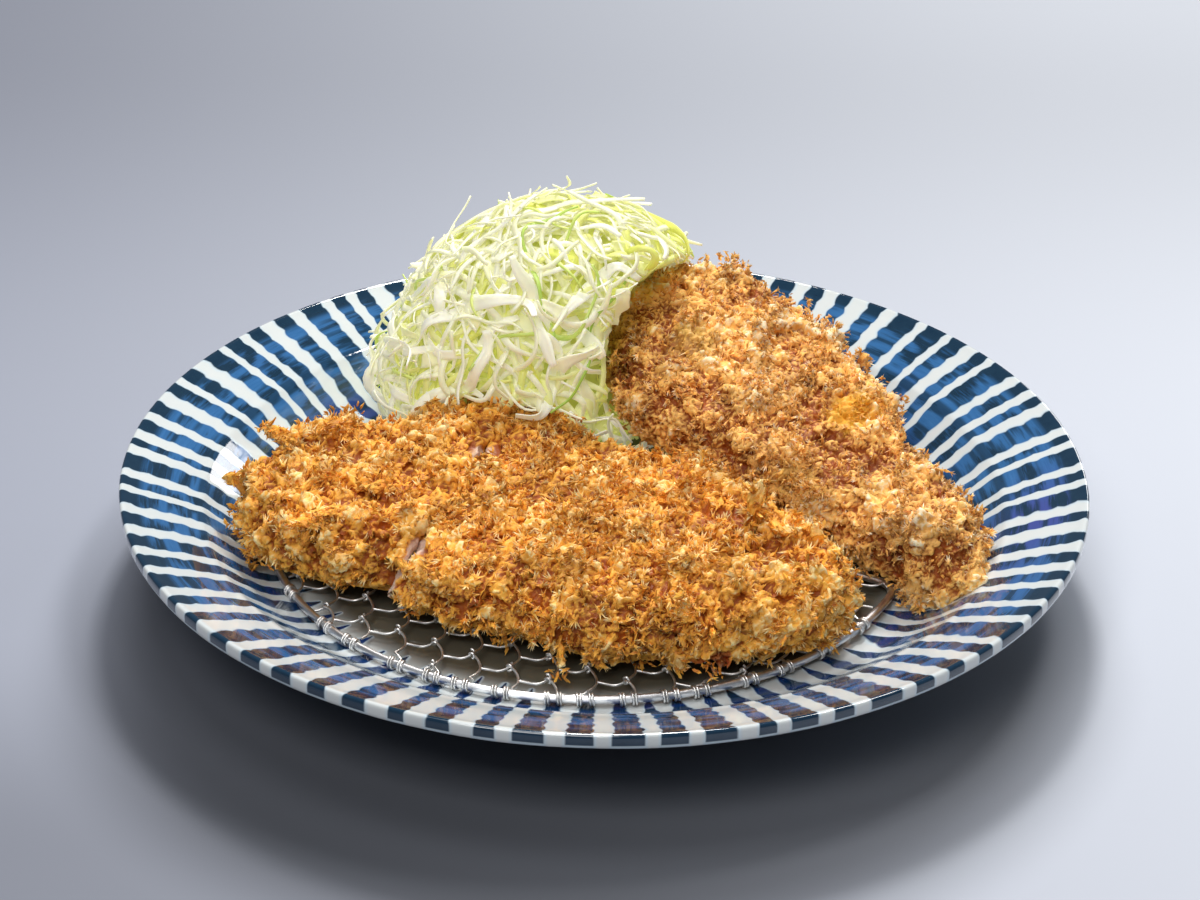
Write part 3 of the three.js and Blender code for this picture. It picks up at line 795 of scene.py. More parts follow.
def make_rack(steel):
    """The rod, and inside it the net's wires, each wound round the rod where it ends."""
    rod_path = rack_outline()
    rod_line = np.column_stack([rod_path, np.full(len(rod_path), FRAME_LEVEL)])
    rod = wire_piece("rack_rod", [rod_line], FRAME_WIRE, 6, closed=True)
    rod_steel = steel_material("polished_rod", steel, tint(238, 238, 240), tint(196, 196, 198), 0.26)
    finish_piece(rod, rod_steel, "rod_steel", "rack_frame")

    rng = np.random.default_rng(12)
    inset = FRAME_WIRE / 2
    net, loops = [], []
    ahead = np.roll(rod_path, -1, axis=0) - rod_path
    for i in range(-NET_REACH, NET_REACH):
        path, twists = net_column(i)
        kept = path[inside_rack(path[:, :2], inset)]
        if len(kept) < 4:
            continue
        net.append(kept)
        for end in (kept[0, :2], kept[-1, :2]):
            nearest = int(np.argmin(np.hypot(*(rod_path - end).T)))
            along = ahead[nearest] / np.hypot(*ahead[nearest])
            for shift in (0.0, -WINDING_STEP * math.copysign(1, along[0])):
                loops.append(winding(rod_path[nearest] + along * shift, along))
        for x, y in twists:
            if inside_rack(np.array([[x, y]]), inset + 2)[0]:
                net.append(twist_wire(x, y, rng))
            cross = net_cross_wire(x, y + NET_ROW / 2, rng)
            cross = cross[inside_rack(cross[:, :2], inset)]
            if len(cross) > 2:
                net.append(cross)
    wires = wire_piece("rack_net_wires", net, NET_WIRE, 2)
    net_steel = steel_material("net_wire", steel, tint(236, 235, 233), tint(190, 188, 185), 0.3)
    finish_piece(wires, net_steel, "net_steel", "rack_net")
    finish_piece(wire_piece("rack_windings", loops, NET_WIRE, 2), net_steel, "net_steel")


# ---------------------------------------------------------------- breading

def clouds(name, size, kind="CLOUDS", **settings):
    """A noise texture with lumps of a size in millimetres."""
    texture = bpy.data.textures.new(name, kind)
    texture.noise_scale = size * MM
    for key, value in settings.items():
        setattr(texture, key, value)
    return texture


def slice_level(points, index):
    """Height of points over the middle of a slice."""
    return points[:, 2] - FRONT_REST - (FRONT_THICKNESS + SLICE_LIFT[index]) / 2


def cut_distances(points, index):
    """How far points lie inside the left and the right cut face of a slice, along the cutlet."""
    run = points[:, 0] * math.cos(FRONT_TURN) + points[:, 1] * math.sin(FRONT_TURN)
    level = slice_level(points, index)
    left = right = np.full(len(points), FAR)
    if index > 0:
        left = run - (FRONT_CUTS[index - 1] + SLICE_GAP[index - 1] / 2 + CUT_LEANS[index - 1] * level)
    if index < SLICES - 1:
        right = FRONT_CUTS[index] - SLICE_GAP[index] / 2 + CUT_LEANS[index] * level - run
    return left, right


def close_cuts(points, index):
    """Brings a slice's cut faces together and dips the breading into the cuts.

    The widest cut stays open at the top along some stretches. The points are moved in place. The
    answer is how far each is from the nearest cut, and how open the widest cut is beside it.
    """
    left, right = cut_distances(points, index)
    high = np.clip(slice_level(points, index) / (FRONT_THICKNESS / 2), 0, 1)
    along = np.array([math.cos(FRONT_TURN), math.sin(FRONT_TURN), 0])
    y = points[:, 1]
    inside_each = [np.clip(np.minimum(y - low, top - y) / 4, 0, 1) for low, top in CUT_SHOWS]
    shows = np.max(inside_each, axis=0)
    for inside, side, cut in ((left, -1, index - 1), (right, 1, index)):
        if inside.min() < FAR:
            reach = SLICE_GAP[cut] / 2 + 0.3 - (1.2 * shows * high ** 2 if cut == 0 else 0)
            points += side * (reach * np.clip(1 - inside / 4, 0, 1))[:, None] * along
    nearest = np.minimum(left, right)
    points[:, 2] -= 2.8 * high * np.clip(1 - nearest / 3.6, 0, 1) ** 2
    widest = (right < left) if index == 0 else (left < right) & (index == 1)
    return nearest, widest * shows


def crust_distance(points, from_cut):
    """For points on a cut face, how far the breaded outside is."""
    distance = np.zeros(len(points))
    near = points[(from_cut > 1.4) & (from_cut < 2.6)]
    if not len(near):
        return distance
    tree = KDTree(len(near))
    for i, place in enumerate(near):
        tree.insert(place, i)
    tree.balance()
    for i in np.nonzero(from_cut < 1.0)[0]:
        distance[i] = tree.find(points[i])[2]
    return distance


def weigh(piece, name, weights):
    """A vertex group from weights in 0..1, in ten steps."""
    group = piece.vertex_groups.new(name=name)
    steps = np.round(weights * 10).astype(int)
    for step in range(1, 11):
        members = np.nonzero(steps == step)[0].tolist()
        if members:
            group.add(members, step / 10, "REPLACE")
    return group.name


def copy_of_node(node, name):
    """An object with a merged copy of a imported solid's mesh."""
    mesh = frame["nodes"][node].data.copy()
    mesh.name = name
    piece = only(link(bpy.data.objects.new(name, mesh)))
    with edit_mode():
        bpy.ops.mesh.select_all(action="SELECT")
        bpy.ops.mesh.remove_doubles(threshold=0.001 * MM)
    return piece


def sharpness(mesh):
    """How far each vertex stands out from its neighbours, along its normal."""
    edges = np.empty(len(mesh.edges) * 2, np.int32)
    mesh.edges.foreach_get("vertices", edges)
    a, b = edges.reshape(-1, 2).T
    points = points_of(mesh)
    counts = np.bincount(a, minlength=len(points)) + np.bincount(b, minlength=len(points))
    sums = [
        np.bincount(a, points[b, k], len(points)) + np.bincount(b, points[a, k], len(points))
        for k in range(3)
    ]
    mean = np.stack(sums, 1) / np.maximum(counts, 1)[:, None]
    return np.einsum("ij,ij->i", points - mean, normals_of(mesh))


def spread(values, counted):
    """Values stretched so that nearly all of the counted ones lie in 0..1."""
    low, high = np.percentile(values[counted], [6, 96])
    return np.clip((values - low) / (high - low), 0, 1)


def crust_piece(name, node, voxel, layers, cut=None):
    """A breaded solid with its relief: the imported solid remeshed, then displaced layer by layer.

    A layer is (texture, strength in millimetres, mid level, direction).
    """
    piece = copy_of_node(node, name)
    remesh(piece, voxel)
    apply_modifier(piece, "SMOOTH", factor=0.5, iterations=8)
    mesh = piece.data
    points = points_of(mesh)
    from_cut, opened = np.full(len(points), FAR), np.zeros(len(points))
    if cut is not None:
        from_cut, opened = close_cuts(points, cut)
        set_points(mesh, points)
        mesh.update()
    normals = normals_of(mesh)
    facing_up = normals[:, 2]
    from_foot = points[:, 2] - points[:, 2].min()

    # The relief is weaker on a cut face, on the underside and at the foot.
    skin = np.clip((from_cut - 0.2) / 0.9, 0.12, 1)
    lowest = np.clip(from_foot / 0.8, 0.4, 1)
    under = np.clip((facing_up + 0.97) / 0.25, 0.25, 1) * lowest
    groups = {
        "NORMAL": weigh(piece, "skin", skin * under),
        "RGB_TO_XYZ": weigh(piece, "drag", np.maximum(skin, 0.7) * under),
    }
    for texture, strength, mid, direction in layers:
        displace(piece, texture, strength, mid_level=mid, direction=direction,
                 vertex_group=groups[direction])
    mesh = piece.data
    # Painted light: the breading is painted paler where the relief stands out and is pointed, as lit, and
    # darker where it sits low and beside a cut, as shaded.
    raised = spread(np.einsum("ij,ij->i", points_of(mesh) - points, normals), skin > 0.9)
    pointed = spread(sharpness(mesh), skin > 0.9)
    piece.vertex_groups.clear()
    by_cut = np.exp(-np.maximum(from_cut, 0) / 1.5)
    painted_cut_shade = 0.25 * by_cut
    set_attribute(mesh, "raised", np.clip(0.6 * raised + 0.4 * pointed - 0.1 - painted_cut_shade, 0, 1))
    set_attribute(mesh, "tone", np.full(len(points), 0.5))

    # Meat shows on a cut face, away from its breaded edge, and nearer to the edge where it is open.
    bare = 1 - np.clip((from_cut - 0.5) / 0.5, 0, 1)
    shown = 6 - 5.2 * opened
    meat = bare * np.clip((crust_distance(points, from_cut) - shown) / 0.8, 0, 1)
    set_attribute(mesh, "meat", meat)

    # Crumbs keep off the cut faces, the open cut's margin and the underside.
    breaded = np.clip((from_cut - 0.5 - 2.2 * opened) / 0.6, 0, 1) * (facing_up > -0.85)
    set_attribute(mesh, "breaded", breaded)
    beside_cut = by_cut * (facing_up > 0.1) * (1.2 - 1.15 * opened)
    at_foot = 0.9 * np.exp(-from_foot / 3.5) * (facing_up < 0.3)
    set_attribute(mesh, "edge", np.maximum(beside_cut, at_foot))
    shade_smooth(piece)
    return piece


def taken_apart(piece):
    """The points and triangles of a throw-away object, which is deleted. Its lengths are plain units."""
    only(piece)
    bpy.ops.object.transform_apply()
    mesh = piece.data
    points, faces = points_of(mesh) * MM, triangles_of(mesh)
    bpy.data.objects.remove(piece)
    bpy.data.meshes.remove(mesh)
    return points, faces


def flake_shape(name, subdivisions, size, jag, seed):
    """One ragged flake, two units long, bent a little."""
    bpy.ops.object.select_all(action="DESELECT")
    bpy.ops.mesh.primitive_ico_sphere_add(subdivisions=subdivisions, radius=1)
    with edit_mode():
        bpy.ops.transform.vertex_random(offset=jag, uniform=0.0, normal=0.0, seed=seed)
        bpy.ops.transform.resize(value=size)
    points, faces = taken_apart(active(name))
    rng = np.random.default_rng(seed)
    points[:, 2] += rng.uniform(-0.4, 0.4) * points[:, 0] ** 2
    points[:, 1] += rng.uniform(-0.3, 0.3) * points[:, 0] ** 2
    return points, faces


def frayed_shape(name, size, seed, ragged=20):
    """A thin flake with ragged points all round, two units long and curled a little."""
    rng = np.random.default_rng(seed)
    bpy.ops.object.select_all(action="DESELECT")
    bpy.ops.mesh.primitive_cone_add(vertices=ragged, radius1=1, depth=0.5, end_fill_type="TRIFAN")
    flake = active(name)
    rim = np.hypot(*points_of(flake.data)[:, :2].T) * MM > 0.5
    for shrink in (0.5, 0.68, 0.84):
        chosen = rim & (rng.random(len(rim)) < 0.3)
        flake.data.vertices.foreach_set("select", chosen)
        with edit_mode():
            bpy.ops.transform.resize(value=(shrink, shrink, 1), center_override=(0, 0, 0))
            bpy.ops.mesh.select_all(action="DESELECT")
    with edit_mode():
        bpy.ops.mesh.select_all(action="SELECT")
        bpy.ops.transform.vertex_random(offset=0.11, uniform=0.0, normal=0.0, seed=seed)
        bpy.ops.transform.resize(value=size)
    points, faces = taken_apart(flake)
    bends = rng.uniform(-0.5, 0.5), rng.uniform(-0.8, 0.8)
    points[:, 2] += bends[0] * points[:, 0] ** 2 + bends[1] * points[:, 1] ** 2
    return points, faces


def tuft_shape(seed):
    """A few crumb tips that stand up from one point, about one unit long."""
    spikes, flat_turn = 5, 1.57
    rng = np.random.default_rng(seed)
    bpy.ops.object.select_all(action="DESELECT")
    for k in range(spikes):
        lean = rng.normal(0, (0.3, 0.7, 1))
        bpy.ops.mesh.primitive_cone_add(vertices=3, radius1=0.17, depth=1.1, location=(0, 0, 0.45))
        bpy.ops.object.transform_apply()
        with edit_mode():
            bpy.ops.transform.vertex_random(offset=0.12, uniform=0.0, normal=0.0, seed=seed + k)
            bpy.ops.transform.rotate(value=flat_turn + lean[0], orient_axis="Y", center_override=(0, 0, 0))
            bpy.ops.transform.rotate(value=lean[1], orient_axis="Z", center_override=(0, 0, 0))
        bpy.context.object.name = f"tuft_{k}"
    for k in range(spikes):
        bpy.data.objects[f"tuft_{k}"].select_set(True)
    bpy.ops.object.join()
    points, faces = taken_apart(active("tuft"))
    # The tips all point the same way along X.
    if points[:, 0].mean() < 0:
        points[:, 0] *= -1
        faces = faces[:, ::-1]
    return points, faces


def unit(vector):
    return vector / max(float(np.linalg.norm(vector)), 1e-9)


def read_attribute(mesh, name, fallback):
    values = np.full(len(mesh.vertices), fallback, np.float32)
    if name in mesh.attributes:
        mesh.attributes[name].data.foreach_get("value", values)
    return values


def spots_on(piece, count, rng, raised_share, edge_share=0.0):
    """Random places on the breaded part of a piece, and the surface's normals there.

    The places keep to what stands out, or to the edges of the cuts, by the shares given.
    """
    mesh = piece.data
    triangles, points, normals = triangles_of(mesh), points_of(mesh), normals_of(mesh)
    raised = read_attribute(mesh, "raised", 0.5)[triangles].mean(1)
    edge = read_attribute(mesh, "edge", 0.0)[triangles].mean(1)
    a, b, c, weight = corners_of(points, triangles)
    weight *= read_attribute(mesh, "breaded", 1.0)[triangles].mean(1) > 0.5
    weight *= 0.25 + raised_share * raised + edge_share * edge
    chosen = rng.choice(len(triangles), count, p=weight / weight.sum())
    u, v = rng.random((2, count, 1))
    u, v = np.where(u + v > 1, 1 - u, u), np.where(u + v > 1, 1 - v, v)
    place = a[chosen] + u * (b - a)[chosen] + v * (c - a)[chosen]
    return place, units(normals[triangles[chosen]].mean(1))


def spots_on_all(pieces, total, rng, **shares):
    """Places on several pieces, shared out by their number of faces."""
    sizes = np.array([len(piece.data.polygons) for piece in pieces], float)
    counts = np.round(total * sizes / sizes.sum()).astype(int)
    found = [spots_on(piece, count, rng, **shares) for piece, count in zip(pieces, counts)]
    return tuple(np.concatenate(part) for part in zip(*found))


def clumped(spots, members, radius, rng):
    """Turns each spot into a clump: places on a small dome, with normals that lean away from its middle."""
    place, normal = spots
    count = len(place)
    size = rng.uniform(*radius, size=(count, 1, 1))
    first = units(np.cross(normal, rng.normal(size=(count, 3))))
    second = np.cross(normal, first)
    angle = 2 * np.pi * rng.random((count, members, 1))
    reach = np.sqrt(rng.random((count, members, 1)))
    stretch = rng.uniform(1.0, 2.0, (count, 1, 1))
    aside = (
        first[:, None] * np.cos(angle) * reach * stretch
        + second[:, None] * np.sin(angle) * reach / np.sqrt(stretch)
    )
    dome = np.sqrt(np.clip(1.05 - reach ** 2, 0, 1)) - 0.25
    places = place[:, None] + (aside + normal[:, None] * dome * 0.6) * size
    normals = units(normal[:, None] + aside * 0.9)
    return places.reshape(-1, 3), normals.reshape(-1, 3)


def scatter(name, shapes, spots, sizes, rng, tilt, sink, raised, rolled):
    """Copies of some shapes on a surface, joined in one mesh, with attributes for their colour."""
    place, normal = spots
    count = len(place)
    size = rng.uniform(*sizes, size=count) * (0.7 + 0.6 * rng.random(count) ** 2)
    which = rng.integers(len(shapes), size=count)
    flat = units(np.cross(normal, rng.normal(size=(count, 3))))
    lean = np.radians(rng.uniform(*tilt, size=(count, 1)))
    along = flat * np.cos(lean) + normal * np.sin(lean)
    side = np.cross(normal, flat)
    up = np.cross(along, side)
    roll = rng.normal(0, rolled, (count, 1))
    side, up = side * np.cos(roll) + up * np.sin(roll), up * np.cos(roll) - side * np.sin(roll)
    tones = rng.random(count)
    parts, start = [], 0
    for k, (points, faces) in enumerate(shapes):
        mine = np.nonzero(which == k)[0]
        scaled = points[None] * size[mine, None, None]
        root = np.maximum(0, np.sin(lean[mine, 0])) * max(0.0, -points[:, 0].min()) * 0.75
        centre = place[mine] + normal[mine] * (root * size[mine] - sink)[:, None]
        world = (
            centre[:, None]
            + scaled[..., :1] * along[mine, None]
            + scaled[..., 1:2] * side[mine, None]
            + scaled[..., 2:] * up[mine, None]
        )
        # Painted highlight: a crumb is painted paler where it stands off the surface and towards its ends.
        height = np.einsum("nij,nj->ni", world - place[mine, None], normal[mine])
        out = np.clip(0.6 * height / (0.9 * sizes[1]) + 0.4 * np.abs(points[None, :, 0]) ** 2, 0, 1)
        offsets = start + np.arange(len(mine)) * len(points)
        joined = (faces[None] + offsets[:, None, None]).reshape(-1, 3)
        shade = raised[0] + (raised[1] - raised[0]) * out
        tone = np.repeat(tones[mine], len(points))
        parts.append((world.reshape(-1, 3), joined, shade.reshape(-1), tone))
        start += len(mine) * len(points)
    points, faces, shade, tone = (np.concatenate(part) for part in zip(*parts))
    piece = mesh_piece(name, points, faces, smooth=False)
    set_attribute(piece.data, "raised", shade)
    set_attribute(piece.data, "tone", tone)
    return piece


def crumb_kinds():
    """The shapes that each kind of crumb is chosen from."""
    return {
        "chip": [flake_shape("chip", 3, (1, 0.5, 0.3), 0.26, s) for s in range(10)],
        "flake": [frayed_shape("flake", (1, 0.42, 0.36), s) for s in range(60, 84)],
        "clump": [frayed_shape("clump", (1, 0.32, 0.4), s, 14) for s in range(20, 40)],
        "tuft": [tuft_shape(s) for s in range(40, 52)],
    }


def bread(prefix, pieces, kinds, material, slot, jobs, seed):
    """Scatters one kind of crumb after the other, each on the pieces and on the crumbs before it.

    A job is (kind, how many, clump, sizes, tilt, sink, raised, rolled, shares). The clump is how many
    crumbs one place has and how wide they lie, the tilt is in degrees, and raised is the range of the
    attribute of that name.
    """
    rng = np.random.default_rng(seed)
    grounds = list(pieces)
    for kind, total, clump, sizes, tilt, sink, raised, rolled, shares in jobs:
        spots = spots_on_all(grounds, total, rng, **shares)
        if clump:
            spots = clumped(spots, *clump, rng)
        piece = scatter(f"{prefix}_{kind}s", kinds[kind], spots, sizes, rng, tilt, sink, raised, rolled)
        grounds.append(finish_piece(piece, material, slot))


# The largest crumbs, each from its foot to its tip, with its width.
LARGE_CRUMBS = [
    ((38.5, -43.6, 35.5), (41.0, -40.2, 50.5), 5.6), ((41.2, -43.2, 38), (42.8, -41.6, 44.5), 3.2),
    ((54.6, -52.0, 36), (57.0, -51.2, 43.5), 3.6), ((51.0, -50.5, 36), (51.2, -49.4, 41.5), 3.0),
    ((-86, 2.5, 36.2), (-98, 9.2, 37.6), 4.4), ((-84.5, -0.6, 36.2), (-93, 3.4, 36.8), 3.4),
    ((3.4, -34.6, 37.6), (12.8, -52.4, 39.4), 4.4), ((-90.5, -32.4, 36), (-75.8, -20.6, 38.2), 4.2),
    ((-81, -45.5, 32), (-72, -40, 38), 4.2), ((-10.9, -76.2, 23), (-10.3, -85.0, 18.6), 2.8),
    ((-56, -52.6, 33), (-48.6, -60.4, 31.2), 4.0), ((22, -70, 33), (29, -66, 37.5), 3.6),
]


def large_crumbs(name, shapes, rng):
    """Crumbs stretched from a foot to a tip."""
    parts, faces, shades, start = [], [], [], 0
    for foot, tip, width in LARGE_CRUMBS:
        points, triangles = shapes[rng.integers(len(shapes))]
        foot, tip = np.array(foot), np.array(tip)
        along = (tip - foot) / 2
        side = unit(np.cross(along, rng.normal(size=3) * 0.3 + (0, 1, 0.2)))
        up = np.cross(unit(along), side)
        parts.append((foot + tip) / 2 + points @ np.stack([along, side * width, up * width]))
        faces.append(triangles + start)
        # Painted highlight: each crumb is painted paler towards its tip.
        shades.append(0.45 + 0.45 * np.clip(points[:, 0], -0.4, 1))
        start += len(points)
    piece = mesh_piece(name, np.concatenate(parts), np.concatenate(faces))
    ridges = clouds("crumb_ridges", 2.2, noise_depth=2, cloud_type="COLOR")
    displace(piece, ridges, 2.6, direction="RGB_TO_XYZ")
    set_attribute(piece.data, "raised", np.concatenate(shades))
    for attribute in ("tone", "edge"):
        set_attribute(piece.data, attribute, np.full(start, 0.6))
    return piece


def make_front_cutlet(fried, kinds):
    layers = [
        (clouds("front_lumps", 12, noise_depth=1), 5.6, 0.5, "NORMAL"),
        (clouds("front_clumps", 6.5, "VORONOI", noise_intensity=1.2), -2.2, 0.35, "NORMAL"),
        (clouds("front_creases", 7, noise_depth=2, noise_type="HARD_NOISE"), 5.0, 0.35, "NORMAL"),
        (clouds("front_drag", 3.4, noise_depth=2, cloud_type="COLOR"), 3.2, 0.5, "RGB_TO_XYZ"),
        (clouds("front_crumbs", 1.5, noise_depth=1), 1.2, 0.5, "NORMAL"),
        (clouds("front_grains", 0.9, noise_depth=0), 0.5, 0.5, "NORMAL"),
    ]
    colours = dict(
        recess_shade=tint(160, 78, 18), crust=tint(244, 176, 68),
        tip=tint(255, 236, 176), burnt=tint(122, 48, 12),
        spots=[
            ((51.4, -63.4, 26), 6, 0.75, tint(168, 24, 14)), ((28.9, -80.9, 20), 5, 0.75, tint(140, 26, 12)),
            ((-53.2, -3.8, 36), 3, 0.6, tint(140, 40, 16)), ((-88, -26, 30), 4, 0.4, tint(150, 56, 20)),
        ],
    )
    crust = crust_material("golden_breading", fried, meat=tint(216, 184, 164), **colours)
    slices = []
    for i in range(SLICES):
        piece = crust_piece(f"slice_{i + 1}_crust", f"cutlet_slice_{i + 1}", 0.46, layers, cut=i)
        slices.append(finish_piece(piece, crust, "golden_crust", f"cutlet_slice_{i + 1}"))
    jobs = [
        ("chip", 90, None, (1.8, 3.6), (-5, 50), 0.5, (0.15, 0.6), 0.6,
         dict(raised_share=0.8, edge_share=0.5)),
        ("clump", 420, (11, (2.2, 4.2)), (1.5, 3.6), (15, 75), 0.3, (0.2, 1.0), 1.2,
         dict(raised_share=1.4, edge_share=0.8)),
        ("flake", 2500, None, (1.6, 4.2), (0, 45), 0.2, (0.3, 1.05), 0.7,
         dict(raised_share=0.6, edge_share=0.5)),
        ("tuft", 3600, None, (1.2, 2.8), (20, 85), 0.1, (0.4, 1.2), 0.6,
         dict(raised_share=2.0, edge_share=0.5)),
    ]
    flakes = crust_material("golden_flakes", fried, **colours)
    smooth = [flake_shape("large", 4, (1, 0.42, 0.3), 0.12, seed) for seed in range(70, 75)]
    large = large_crumbs("front_large_crumbs", smooth, np.random.default_rng(5))
    finish_piece(large, flakes, "golden_crust")
    bread("front", [*slices, large], kinds, flakes, "golden_crust", jobs, 31)


def make_rear_cutlet(fried, kinds):
    layers = [
        (clouds("rear_folds", 24, noise_depth=0), 6.5, 0.5, "NORMAL"),
        (clouds("rear_lumps", 12, noise_depth=1), 6.6, 0.5, "NORMAL"),
        (clouds("rear_clumps", 5.0, "VORONOI", noise_intensity=1.2), -1.8, 0.35, "NORMAL"),
        (clouds("rear_creases", 5.5, noise_depth=2, noise_type="HARD_NOISE"), 4.2, 0.35, "NORMAL"),
        (clouds("rear_drag", 2.8, noise_depth=2, cloud_type="COLOR"), 2.6, 0.5, "RGB_TO_XYZ"),
        (clouds("rear_crumbs", 1.3, noise_depth=1), 1.1, 0.5, "NORMAL"),
        (clouds("rear_grains", 0.9, noise_depth=0), 0.5, 0.5, "NORMAL"),
    ]
    colours = dict(
        recess_shade=tint(150, 72, 20), crust=tint(255, 196, 106),
        tip=tint(255, 246, 216), burnt=tint(112, 46, 14),
        spots=[
            ((70.6, 9, 44), 9, 0.8, tint(240, 176, 44)), ((26.3, -21.7, 32), 15, 0.35, tint(170, 134, 40)),
            ((24.5, 39.8, 52), 9, 0.35, tint(196, 160, 76)), ((21.1, -1.4, 54), 4, 0.6, tint(236, 178, 148)),
            ((48, -24, 36), 14, 0.25, tint(176, 140, 50)),
        ],
    )
    piece = crust_piece("rear_crust", "rear_cutlet", 0.54, layers)
    crust = crust_material("brown_breading", fried, **colours)
    finish_piece(piece, crust, "brown_crust", "rear_cutlet")
    jobs = [
        ("chip", 50, None, (1.4, 3.0), (-5, 50), 0.4, (0.15, 0.6), 0.6, dict(raised_share=0.8)),
        ("clump", 440, (11, (1.8, 3.8)), (1.2, 3.0), (15, 75), 0.2, (0.2, 1.0), 1.2,
         dict(raised_share=1.4, edge_share=0.5)),
        ("flake", 2500, None, (1.2, 3.4), (0, 50), 0.2, (0.3, 1.05), 0.7,
         dict(raised_share=0.6, edge_share=0.3)),
        ("tuft", 3400, None, (0.9, 2.2), (20, 85), 0.1, (0.35, 1.2), 0.6, dict(raised_share=2.0)),
    ]
    flakes = crust_material("brown_flakes", fried, **colours)
    bread("rear", [piece], kinds, flakes, "brown_crust", jobs, 57)


# ---------------------------------------------------------------- cabbage

def tree_of(*pieces):
    """A search tree over the faces of some pieces, in millimetres."""
    points, faces, start = [], [], 0
    for piece in pieces:
        found = points_of(piece.data)
        points.append(found)
        faces.append(triangles_of(piece.data) + start)
        start += len(found)
    return BVHTree.FromPolygons(np.concatenate(points).tolist(), np.concatenate(faces).tolist())


def largest_part(piece):
    """Keeps the largest of a piece's loose parts."""
    only(piece)
    bpy.ops.mesh.separate(type="LOOSE")
    parts = sorted(bpy.context.selected_objects, key=lambda part: len(part.data.vertices))
    for part in parts[:-1]:
        bpy.data.objects.remove(part)
    return parts[-1]


def make_cabbage_core(material):
    """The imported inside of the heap, and a search tree over its smooth form, which the shreds follow."""
    fine, coarse = 1.3, 2.6
    core = copy_of_node("cabbage", "cabbage_core")
    remesh(core, fine)
    apply_modifier(core, "SMOOTH", factor=0.6, iterations=60)
    remesh(core, coarse)
    core = largest_part(core)
    core.name = core.data.name = "cabbage_core"
    apply_modifier(core, "SMOOTH", factor=0.6, iterations=12)
    guide = tree_of(core)
    remesh(core, fine)
    displace(core, clouds("heap_folds", 5, noise_depth=2), 4, mid_level=1.0)
    mesh = core.data
    # Painted shade: the core is painted a deeper green towards its foot.
    low = np.clip((62 - points_of(mesh)[:, 2]) / 45, 0, 1)
    set_attribute(mesh, "tone", np.full(len(mesh.vertices), 0.5))
    set_attribute(mesh, "depth", 0.3 + 0.6 * low)
    shade_smooth(core)
    return finish_piece(core, material, "leaf", "cabbage"), guide


def plate_top(radius):
    """The height of the plate's upper face at a distance from its axis."""
    radii, heights = zip(*plate_profile()[:PLATE_TOP_POINTS])
    return float(np.interp(radius, radii, heights))


def grow_half(start, heading, length, steps, flare, shape, trees, rng):
    """Half of a shred's middle line, from a place on the heap, and the surface's normals under it.

    The shape is its height over the heap, the height of the heap's outline and how much it curls.
    The flare is how much further off the heap its end stands.
    """
    height, top, curl = shape
    heap, neighbours, _ = trees
    step = length / (steps - 1)
    steady, sway = rng.normal(0, 0.3 * curl), curl * rng.uniform(0.4, 1.3)
    rate, phase = 2 * math.pi / rng.uniform(11, 26), rng.uniform(0, 6.3)
    climb = 0.0
    place, heading = start.copy(), heading.copy()
    line, ups = [], []
    for k in range(steps):
        hit, normal, _, _ = heap.find_nearest(place.tolist())
        hit, normal = np.array(hit), np.array(normal)
        above = float((place - hit) @ normal)
        near, away, _, gap = neighbours.find_nearest(place.tolist())
        if gap < NEIGHBOUR_REACH:
            away = np.array(away)
            clear = float((place - np.array(near)) @ away)
            if clear < SHRED_CLEARANCE:
                place = place + away * (SHRED_CLEARANCE - clear)
                heading = unit(heading + away * 0.25)
        place[2] = max(place[2], plate_top(math.hypot(place[0], place[1])) + 1)
        aside, behind = place[:2] - HEAP_MIDDLE
        over = place[2] - top + HEAP_CURVE * aside ** 2 + HEAP_SLOPE * max(behind, 0)
        lifted = flare * (k / (steps - 1)) ** 2
        over -= lifted
        if over > -HEAP_EASE:
            outward = unit(np.array([2 * HEAP_CURVE * aside, HEAP_SLOPE * (behind > 0), 1]))
            share = min((over + HEAP_EASE) / HEAP_EASE, 1)
            heading = unit(heading - outward * max(float(heading @ outward), 0) * share)
            place[2] -= max(over, 0)
        line.append(place.copy())
        ups.append(normal)
        turn = steady + sway * math.sin(rate * step * k + phase)
        climb = 0.8 * climb + rng.normal(0, 0.01)
        pull = np.clip((height + lifted - above) * 0.07, -0.25, 0.25)
        heading = unit(heading + (np.cross(normal, heading) * turn + normal * (pull + climb)) * step)
        place = place + heading * step
    return np.array(line), np.array(ups)


def shown_behind(tree, line):
    """How many points come before the line passes in front of what the tree holds, from the diner's side."""
    hidden = [tree.ray_cast(place.tolist(), SIGHT, 70)[0] is not None for place in line]
    return hidden.index(True) if True in hidden else len(line)


def grow_shred(start, heading, length, steps, flares, shape, trees, rng):
    """The middle line of a shred that runs both ways from a place on the heap, with its normals.

    The trees hold the heap, what the shred keeps clear of, and what it may not hide.
    """
    line, ups = np.empty((0, 3)), np.empty((0, 3))
    half_steps = steps // 2 + 1
    for way, flare in zip((-1, 1), flares):
        half, normals = grow_half(start, heading * way, length / 2, half_steps, flare, shape, trees, rng)
        shown = shown_behind(trees[2], half)
        line = np.concatenate([line[:0:-1], half[:shown]])
        ups = np.concatenate([ups[:0:-1], normals[:shown]])
    if len(line) > FEWEST_POINTS:
        for chain in (line, line, ups, ups):
            chain[1:-1] = 0.5 * chain[1:-1] + 0.25 * (chain[:-2] + chain[2:])
    return line, ups


